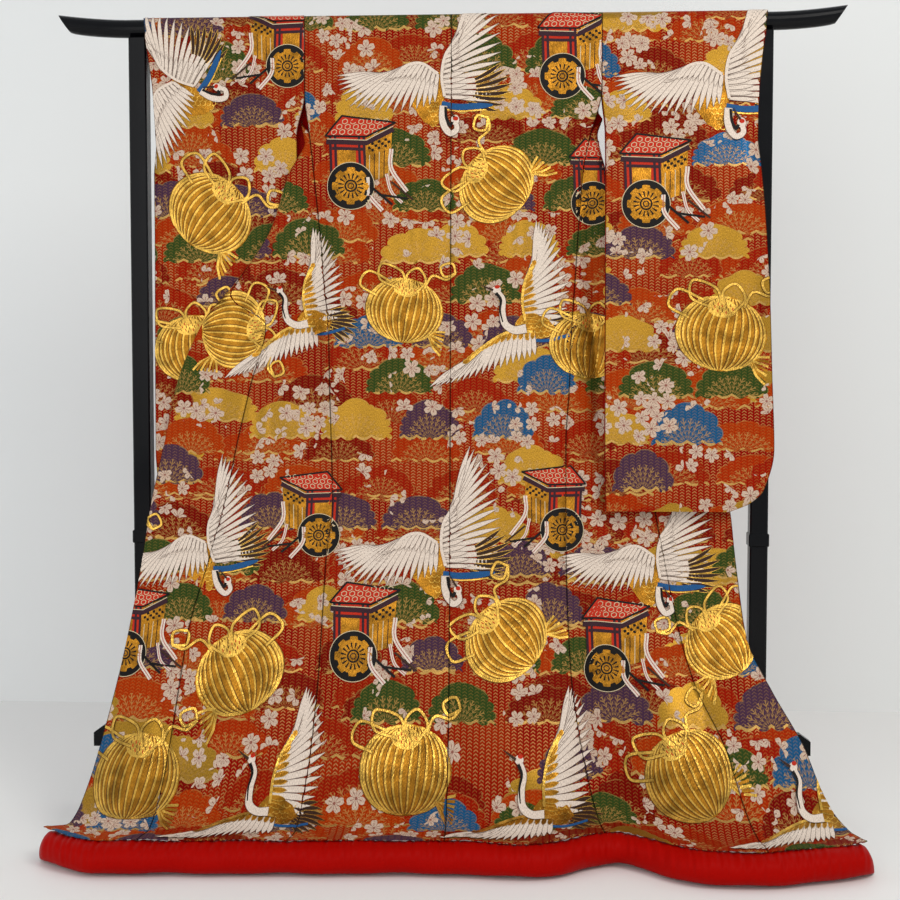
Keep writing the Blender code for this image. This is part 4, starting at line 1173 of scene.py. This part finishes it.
drawings = {"crane": crane(), "alighting": alighting_crane(), "cart": cart(), "bell": bell()}
MOTIFS = {
    # where: (motif, across, run up the cloth, turn in degrees, size, mirrored)
    "body": (
        ("crane", -0.015, 1.530, 0, 1.00, 1),
        ("alighting", -0.300, 1.060, 10, 1.00, 1),
        ("alighting", 0.165, 1.050, 8, 1.12, 1),
        ("crane", -0.500, 0.545, 12, 0.90, 1),
        ("crane", -0.010, 0.540, 4, 1.02, 1),
        ("crane", 0.440, 0.520, 0, 0.92, 1),
        ("alighting", -0.335, 0.094, 0, 1.06, 1),
        ("alighting", 0.205, 0.094, 0, 1.10, 1),
        ("alighting", 0.745, 0.094, 0, 1.04, 1),
        ("cart", 0.275, 1.625, 0, 1.00, 1),
        ("cart", -0.170, 1.400, 0, 1.05, 1),
        ("cart", -0.300, 0.655, 0, 0.95, -1),
        ("cart", 0.215, 0.670, 0, 0.95, -1),
        ("cart", -0.155, 0.415, 0, 1.05, 1),
        ("cart", 0.370, 0.390, 0, 1.00, 1),
        ("cart", -0.640, 0.410, 0, 0.95, 1),
        ("bell", 0.105, 1.345, 140, 1.00, 1),
        ("bell", -0.090, 1.080, 78, 0.95, 1),
        ("bell", 0.300, 1.005, 82, 0.95, 1),
        ("bell", -0.425, 0.325, -62, 1.10, -1),
        ("bell", 0.130, 0.395, 132, 1.05, 1),
        ("bell", 0.575, 0.395, -50, 0.95, -1),
        ("bell", -0.610, 0.140, 84, 1.00, 1),
        ("bell", -0.070, 0.155, 86, 1.05, 1),
        ("bell", 0.495, 0.155, 118, 1.00, 1),
        ("cart", 0.338, 1.356, 0, 0.95, 1),
        ("bell", -0.455, 1.040, -6, 0.95, 1),
        ("bell", 0.530, 1.250, 0, 0.90, 1),
        ("crane", -0.560, 1.250, 10, 0.90, -1),
        ("cart", 0.520, 0.900, 0, 0.95, 1),
        ("bell", 0.700, 0.700, 0, 0.90, 1),
        ("bell", -0.720, 0.700, 0, 0.90, 1),
    ),
    "left": (
        ("crane", -0.545, -0.170, 62, 0.92, 1),
        ("cart", -0.370, -0.070, 0, 0.95, -1),
        ("bell", -0.510, -0.430, 48, 1.10, 1),
        ("bell", -0.545, -0.720, 96, 1.00, 1),
        ("alighting", -0.450, -0.930, 10, 1.00, 1),
        ("crane", -0.500, 0.280, 10, 0.95, 1),
        ("bell", -0.430, 0.560, 0, 1.00, 1),
        ("cart", -0.500, 0.800, 0, 1.00, 1),
    ),
    "right": (
        ("crane", 0.580, -0.200, 0, 1.05, 1),
        ("cart", 0.450, -0.365, 0, 1.05, 1),
        ("bell", 0.572, -0.690, 80, 1.08, 1),
        ("crane", 0.480, 0.300, 0, 0.95, -1),
        ("bell", 0.500, 0.600, 0, 1.00, 1),
        ("cart", 0.480, 0.850, 0, 1.00, 1),
    ),
}


def placed(where):
    """All the shapes of one cloth, moved to their places: points, triangles, colours and lifts."""
    points, faces, colours, lifts = [], [], [], []
    count = 0
    for number, (name, x, y, turn, size, mirror) in enumerate(MOTIFS[where]):
        c = math.cos(math.radians(turn))
        s = math.sin(math.radians(turn))
        for shape, triangles, colour, lift in drawings[name]:
            p = shape * np.array([mirror * size, size])
            p = np.stack([x + p[:, 0] * c - p[:, 1] * s, y + p[:, 0] * s + p[:, 1] * c], 1)
            points.append(p)
            faces.append(triangles + count)
            colours.append(np.full(len(triangles), colour_index[colour]))
            lifts.append(np.full(len(p), lift + 0.00002 * number))
            count += len(p)
    return [np.concatenate(part) for part in (points, faces, colours, lifts)]


cloths = {where: placed(where) for where in MOTIFS}


# The cloth pieces' meshes: a wall of cloth from a function of two parameters, and the motifs
# that lie on it, from a function of the cloth's own metres
FINE = 0.007  # the cloth's grid
BAR_FINE = 0.003  # and where it bends over the bar
PROUD = 0.0001  # a wall stands out from its solid's, and is thinner by the same
LINING_REACH = 0.00035  # how far the lining goes on at the sides, against light through a seam
HEM_MARGIN = 0.004  # motifs end this far up from the hem
TOP_MARGIN = 0.002
SIDE_MARGIN = 0.0008


def outward(function, a, b, step=3e-4):
    """Unit normals: the cross product of small steps along both parameters."""
    da = function(a + step, b) - function(a - step, b)
    db = function(a, b + step) - function(a, b - step)
    n = np.cross(da, db)
    return n / np.maximum(np.linalg.norm(n, axis=-1, keepdims=True), 1e-12)


def mesh_object(name, points, faces, materials, picks, **maps):
    """A smooth mesh with a material for each face; each map gives one UV for each point."""
    mesh = bpy.data.meshes.new(name)
    mesh.vertices.add(len(points))
    mesh.vertices.foreach_set("co", np.asarray(points, np.float32).ravel())
    size = faces.shape[1]
    mesh.loops.add(faces.size)
    mesh.loops.foreach_set("vertex_index", faces.astype(np.int32).ravel())
    mesh.polygons.add(len(faces))
    mesh.polygons.foreach_set("loop_start", np.arange(0, faces.size, size, dtype=np.int32))
    mesh.polygons.foreach_set("material_index", np.asarray(picks, np.int32))
    mesh.update(calc_edges=True)
    for title, uv in maps.items():
        layer = mesh.uv_layers.new(name=title)
        layer.data.foreach_set("uv", np.asarray(uv, np.float32)[faces.ravel()].ravel())
    for material in materials:
        mesh.materials.append(material)
    mesh.shade_smooth()
    mesh.validate()
    obj = bpy.data.objects.new(name, mesh)
    bpy.context.scene.collection.objects.link(obj)
    return obj


def cloth_wall(name, function, u, v, plan, sign, rim=0):
    """A closed wall: the grid of the function, the same moved in by the wall, and four rims.

    The plan gives each grid point's place on the flat cloth, in metres. The sign is -1 where the
    function's normals point into the robe.
    """
    uu, vv = np.meshgrid(u, v, indexing="ij")
    outer = function(uu, vv)
    n = outward(function, uu, vv) * sign
    inner = outer - (WALL - 2 * PROUD) * n
    outer = outer + PROUD * n
    for last, beside in ((0, 1), (-1, -2)):
        aside = inner[last] - inner[beside]
        inner[last] += LINING_REACH * aside / np.linalg.norm(aside, axis=-1, keepdims=True)
    index = np.arange(uu.size).reshape(uu.shape)
    corners = [index[:-1, :-1], index[1:, :-1], index[1:, 1:], index[:-1, 1:]]
    quads = np.stack(corners, -1).reshape(-1, 4)
    rear = quads[:, ::-1] + uu.size
    border = np.concatenate([index[:-1, 0], index[-1, :-1], index[:0:-1, -1], index[0, :0:-1]])
    after = np.roll(border, -1)
    edge = np.stack([after, border, border + uu.size, after + uu.size], 1)
    if sign < 0:
        quads, rear, edge = quads[:, ::-1], rear[:, ::-1], edge[:, ::-1]
    faces = np.concatenate([quads, rear, edge])
    picks = np.concatenate([np.zeros(len(quads)), np.ones(len(rear)), np.full(len(edge), rim)])
    place = plan(uu, vv)
    across = place[..., 0]
    # The distance from each side edge, kept in the edges map, places the brocade's painted seam
    # shadow
    from_edge = np.minimum(np.abs(across - across[:1]), np.abs(across - across[-1:]))
    uv = np.tile(place.reshape(-1, 2), (2, 1))
    edges = np.tile(np.stack([from_edge, place[..., 1]], -1).reshape(-1, 2), (2, 1))
    points = np.concatenate([outer.reshape(-1, 3), inner.reshape(-1, 3)])
    obj = mesh_object(name, points, faces, [brocade, lining], picks, cloth=uv, edges=edges)
    # The outer face's corners stay sharp where it meets the rims
    obj.data.set_sharp_from_angle(angle=math.radians(50))
    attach(obj, "root")
    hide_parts(name)
    corner = points[quads[:, 0]]
    normals = np.cross(points[quads[:, 1]] - corner, points[quads[:, 3]] - corner)
    return obj, np.linalg.norm(normals, axis=1).sum()


def lay_motifs(name, where, function, low, high, bottom, top):
    """The motifs of one piece: the triangles within its edges, drawn in to them, on its surface.

    Low and high give the piece's edges across the cloth at each run up it.
    """
    points, faces, colours, lifts = cloths[where]
    middle = points[faces].mean(1)
    ends = (middle[:, 1] > bottom) & (middle[:, 1] < top)
    inside = ends & (middle[:, 0] > low(middle[:, 1])) & (middle[:, 0] < high(middle[:, 1]))
    faces, colours = faces[inside], colours[inside]
    used, faces = np.unique(faces, return_inverse=True)
    faces = faces.reshape(-1, 3)
    points, lifts = points[used], lifts[used]
    up = np.clip(points[:, 1], bottom + 0.001, top - 0.001)
    across = np.clip(points[:, 0], low(up) + SIDE_MARGIN, high(up) - SIDE_MARGIN)
    on_cloth = function(across, up)
    n = outward(function, across, up)
    corner = on_cloth[faces[:, 0]]
    seen = np.cross(on_cloth[faces[:, 1]] - corner, on_cloth[faces[:, 2]] - corner)
    wrong = (seen * n[faces[:, 0]]).sum(1) < 0
    faces[wrong] = faces[wrong][:, ::-1]
    raised = on_cloth + n * lifts[:, None]
    flat = np.stack([across, up], 1)
    obj = mesh_object("motifs_" + name, raised, faces, thread_materials, colours, cloth=flat)
    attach(obj, "root")
    return obj


def spaced(first, last, step):
    """Even numbers from first to last, about a step apart."""
    return np.linspace(first, last, max(2, int(round((last - first) / step)) + 1))


# The back: two straight panels from the hem over the bar, joined down the middle
def back(side, sign):
    """One panel and its motifs."""

    def inner_edge(run):
        return from_table(MIDDLE, 1, np.minimum(run, SHOULDER_Z)) + sign * GAP / 2

    def outer_edge(run):
        return sign * (from_table(CUT[side], 1, np.minimum(run, SHOULDER_Z)) - GAP / 2)

    def plan(share, run):
        across = inner_edge(run) + (outer_edge(run) - inner_edge(run)) * share
        return np.stack([across, run], -1)

    def panel(share, run):
        return back_point(plan(share, run)[..., 0], run)

    name = "back_" + side
    over = SHOULDER_Z + spaced(BAR_LEAD - QUARTER_TURN, BAR_LEAD + QUARTER_TURN, BAR_FINE)
    end = SHOULDER_Z + 2 * BAR_LEAD
    run = np.concatenate([spaced(0.0, SHOULDER_Z, FINE), over, [end - GAP]])
    obj, area = cloth_wall(name, panel, spaced(0, 1, FINE / 0.31), run, plan, sign)
    low, high = (outer_edge, inner_edge) if sign < 0 else (inner_edge, outer_edge)
    motifs = lay_motifs(name, "body", back_point, low, high, HEM_MARGIN, end - 0.01)
    return obj, area, motifs


for side, sign in (("left", -1), ("right", 1)):
    obj, area, motifs = back(side, sign)


# The fronts and their okumi: out from the side seams, round the folded edges and in behind
def front_shares(straight, under):
    """Shares of a front's row, in so many steps before its turn and after it."""
    turn = spaced(0.5, 0.75, 0.25 / 12)[1:]
    return np.concatenate([spaced(0, 0.5, 0.5 / straight), turn, spaced(0.75, 1, 0.25 / under)[1:]])


def front(name, side, sign, start, end, top, shares):
    """One front or okumi, from its start to its end along each row, and its motifs."""

    def seam(level):
        return from_table(CUT[side], 1, level)

    def along(share, level):
        return along_row(side, share, level, start(side, level), end(side, level))

    def piece(share, level):
        return front_path(side, along(share, level), level)

    def plan(share, level):
        return np.stack([sign * (along(share, level) + seam(level)), level], -1)

    def point(across, level):
        return front_path(side, sign * across - seam(level), level)

    def near(level):
        return sign * (seam(level) + start(side, level))

    def far(level):
        return sign * (seam(level) + end(side, level))

    obj, area = cloth_wall(name, piece, shares, spaced(0.0, top, FINE), plan, sign)
    low, high = (far, near) if sign < 0 else (near, far)
    motifs = lay_motifs(name, "body", point, low, high, HEM_MARGIN, top - TOP_MARGIN)
    return obj, area, motifs


for side, sign in (("left", -1), ("right", 1)):
    for name, start, end, top, shares, flat in (
        # name, start and end along the row, top, shares of the row, flat size
        ("front_", front_start, front_end, SHOULDER_Z - GAP, front_shares(36, 26), (0.44, 1.700)),
        ("okumi_", okumi_start, okumi_end, OKUMI_TOP, front_shares(26, 16), (0.32, 1.430)),
    ):
        obj, area, motifs = front(name + side, side, sign, start, end, top, shares)


# The sleeves: one cloth each, up the front wall, over the bar and down the rear wall
def sleeve(side, sign):
    """One sleeve and its motifs."""

    def wall(share, run):
        return sleeve_point(side, share, run)

    def plan(share, run):
        # The brocade's pattern is shifted on the rear wall
        return np.stack([wall(share, run)[..., 0], np.where(run > 0, 0.31 + run, run)], -1)

    def edge(share):
        return lambda run: sleeve_wall(side, share, run)[..., 0]

    def point(across, run):
        inner, outer = edge(0.0)(run), edge(1.0)(run)
        return wall(np.clip((across - inner) / (outer - inner), 0, 1), run)

    name = "sleeve_" + side
    down = spaced(QUARTER_TURN, SLEEVE_LENGTH, FINE)[1:]
    down = np.concatenate([spaced(0, QUARTER_TURN, BAR_FINE), down])
    run = np.concatenate([-down[::-1], down[1:]])
    # Closer together towards the closed edge, where the walls bend in
    shares = 1 - (1 - spaced(0, 1, 1 / 56)) ** 1.3
    obj, area = cloth_wall(name, wall, shares, run, plan, sign, rim=1)
    inner, outer = edge(0.001), edge(0.999)
    low, high = (outer, inner) if sign < 0 else (inner, outer)
    last = SLEEVE_LENGTH - TOP_MARGIN
    motifs = lay_motifs(name, side, point, low, high, -last, last)
    return obj, area, motifs


for side, sign in (("left", -1), ("right", 1)):
    obj, area, motifs = sleeve(side, sign)

# The collar: a band that runs up one front's edge, round the neck and down the other
legs = spaced(COLLAR_FOOT, NECK_LEVEL - 1e-6, FINE)
legs = 1 + NECK_LEVEL - legs
run = np.unique(np.round(np.concatenate([-legs, spaced(-1, 1, 2 / 40), legs]), 6))


def collar_plan(share, run):
    """The collar's place on its own flat cloth, away from the panels' patterns."""
    return np.stack([COLLAR_WIDTH * share, 2.1 + run], -1)


obj, area = cloth_wall("collar", collar_surface, spaced(0, 1, 1 / 20), run, collar_plan, -1)


# The hem roll: wadded scarlet silk, an oval along the hem's line with fine upright gathers
first, last = ROLL_ENDS
even = np.linspace(0, 1, 560)
# Closer together towards the ends, where the roll is rounded off
x = first + (last - first) * (0.12 * (1 - np.cos(math.pi * even)) / 2 + 0.88 * even)
xx, aa = np.meshgrid(x, np.linspace(0, 2 * math.pi, 56, endpoint=False), indexing="ij")
from_end = np.minimum(xx - first, last - xx)
swell = np.sqrt(np.clip(1 - (1 - np.clip(from_end / 0.030, 0.02, 1)) ** 2, 0.04, 1))
c = np.sign(np.cos(aa)) * np.abs(np.cos(aa)) ** 0.85
s = np.sign(np.sin(aa)) * np.abs(np.sin(aa)) ** 0.90
# Gathers: uneven upright puckers, deepest on top and all but smooth underneath
pucker = 0.50 * np.sin(420 * xx + 3 * np.sin(37 * xx))
pucker = pucker + 0.35 * np.sin(263 * xx + 1.7 * aa) + 0.15 * np.sin(611 * xx)
depth = 0.0016 * (0.15 + 0.85 * np.clip(0.45 + np.sin(aa), 0, 1))
bumps = 0.0016 * np.sin(29 * xx + 0.8 * np.sin(2 * aa)) + 0.0010 * np.sin(57 * xx + 2 * aa)
shrink = 1 - (0.0026 - bumps * 0.6 - depth * pucker) / (ROLL_HEIGHT / 2)
middle = STAND_Y + from_table(HEM, 1, xx) + ROLL_DEPTH / 2
y = middle + ROLL_DEPTH / 2 * swell * c * shrink
z = ROLL_HEIGHT / 2 * swell * (1 + s * shrink) - 0.0002 * swell
index = np.arange(xx.size).reshape(xx.shape)
after = np.roll(index, -1, axis=1)
quads = np.stack([index[:-1], after[:-1], after[1:], index[1:]], -1).reshape(-1, 4)[:, ::-1]
# Each end is closed by a fan of four-sided faces
ends = []
for border, flip in ((index[0], True), (index[-1], False)):
    corner = np.full(len(border[3::2]), border[0])
    fan = np.stack([border[1:-2:2], border[2:-1:2], border[3::2], corner], 1)
    ends.append(fan[:, ::-1] if flip else fan)
faces = np.concatenate([quads] + ends)
points = np.stack([xx, y, z], -1).reshape(-1, 3)
uv = np.stack([xx, aa * 0.03], -1).reshape(-1, 2)
obj = mesh_object("hem_roll", points, faces, [lining], np.zeros(len(faces)), cloth=uv)
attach(obj, "root")
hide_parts("hem_roll")


# The room: a pale wall behind a pale floor, in plain soft studio light from above and in front
def plane(name, corners, colour, roughness):
    """A flat stretch of the room, clear when seen from behind, so that rear views show the robe."""
    mesh = bpy.data.meshes.new(name)
    mesh.from_pydata(corners, [], [(0, 1, 2, 3)])
    material, surface = new_material(name + " paint", colour, roughness)
    tree = material.node_tree
    seen_from = add(tree, "NewGeometry").outputs["Backfacing"]
    shown = add(tree, "MixShader", seen_from, surface, add(tree, "BsdfTransparent"))
    tree.links.new(shown.outputs[0], tree.nodes["Material Output"].inputs[0])
    mesh.materials.append(material)
    obj = bpy.data.objects.new(name, mesh)
    bpy.context.scene.collection.objects.link(obj)


REACH = 6.0  # half the room's width
REAR = 1.1  # the wall's plane
GROUND = -0.001
CEILING = 5.0
far_left, far_right = (-REACH, REAR, GROUND), (REACH, REAR, GROUND)
near_left, near_right = (-REACH, -REACH, GROUND), (REACH, -REACH, GROUND)
plane("floor", [near_left, near_right, far_right, far_left], "F0EEEA", 0.6)
plane("wall", [far_left, far_right, (REACH, REAR, CEILING), (-REACH, REAR, CEILING)], "EAEBE8", 0.8)
target = np.array([0.0, 0.0, 0.9])  # every lamp faces the middle of the robe
for name, place, size, power, colour in (
    # place, size, power, colour
    ("key", (1.9, -2.2, 2.9), 1.3, 41, "FFFCF6"),
    ("front", (-0.5, -3.9, 1.9), 2.4, 34, "FFFDFA"),
    ("left", (-3.2, -1.6, 0.8), 1.8, 16, "F4F8FF"),
):
    lamp = bpy.data.lights.new(name, "AREA")
    lamp.size = size
    lamp.energy = power
    lamp.color = linear(colour)[:3]
    obj = bpy.data.objects.new(name, lamp)
    obj.location = place
    aim = target - np.array(place)
    obj.rotation_euler = (math.acos(-aim[2] / np.linalg.norm(aim)), 0, math.atan2(-aim[0], aim[1]))
    bpy.context.scene.collection.objects.link(obj)
world = bpy.data.worlds.new("soft room")
bpy.context.scene.world = world
world.use_nodes = True
world.node_tree.nodes["Background"].inputs[0].default_value = linear("F0F5FC")
world.node_tree.nodes["Background"].inputs[1].default_value = 0.70

# The camera: at the photograph's height and slightly to the right of the middle
camera = bpy.data.cameras.new("camera")
camera.lens = 60.0
camera.sensor_width = 36.0
obj = bpy.data.objects.new("camera", camera)
obj.location = (0.1853, -3.0947, 0.962)
obj.rotation_euler = (math.radians(90 - 3.2), 0, math.radians(3.2))
bpy.context.scene.collection.objects.link(obj)
bpy.context.scene.camera = obj
scene = bpy.context.scene
scene.view_settings.view_transform = "Standard"
scene.view_settings.look = "None"
scene.view_settings.exposure = 0.0
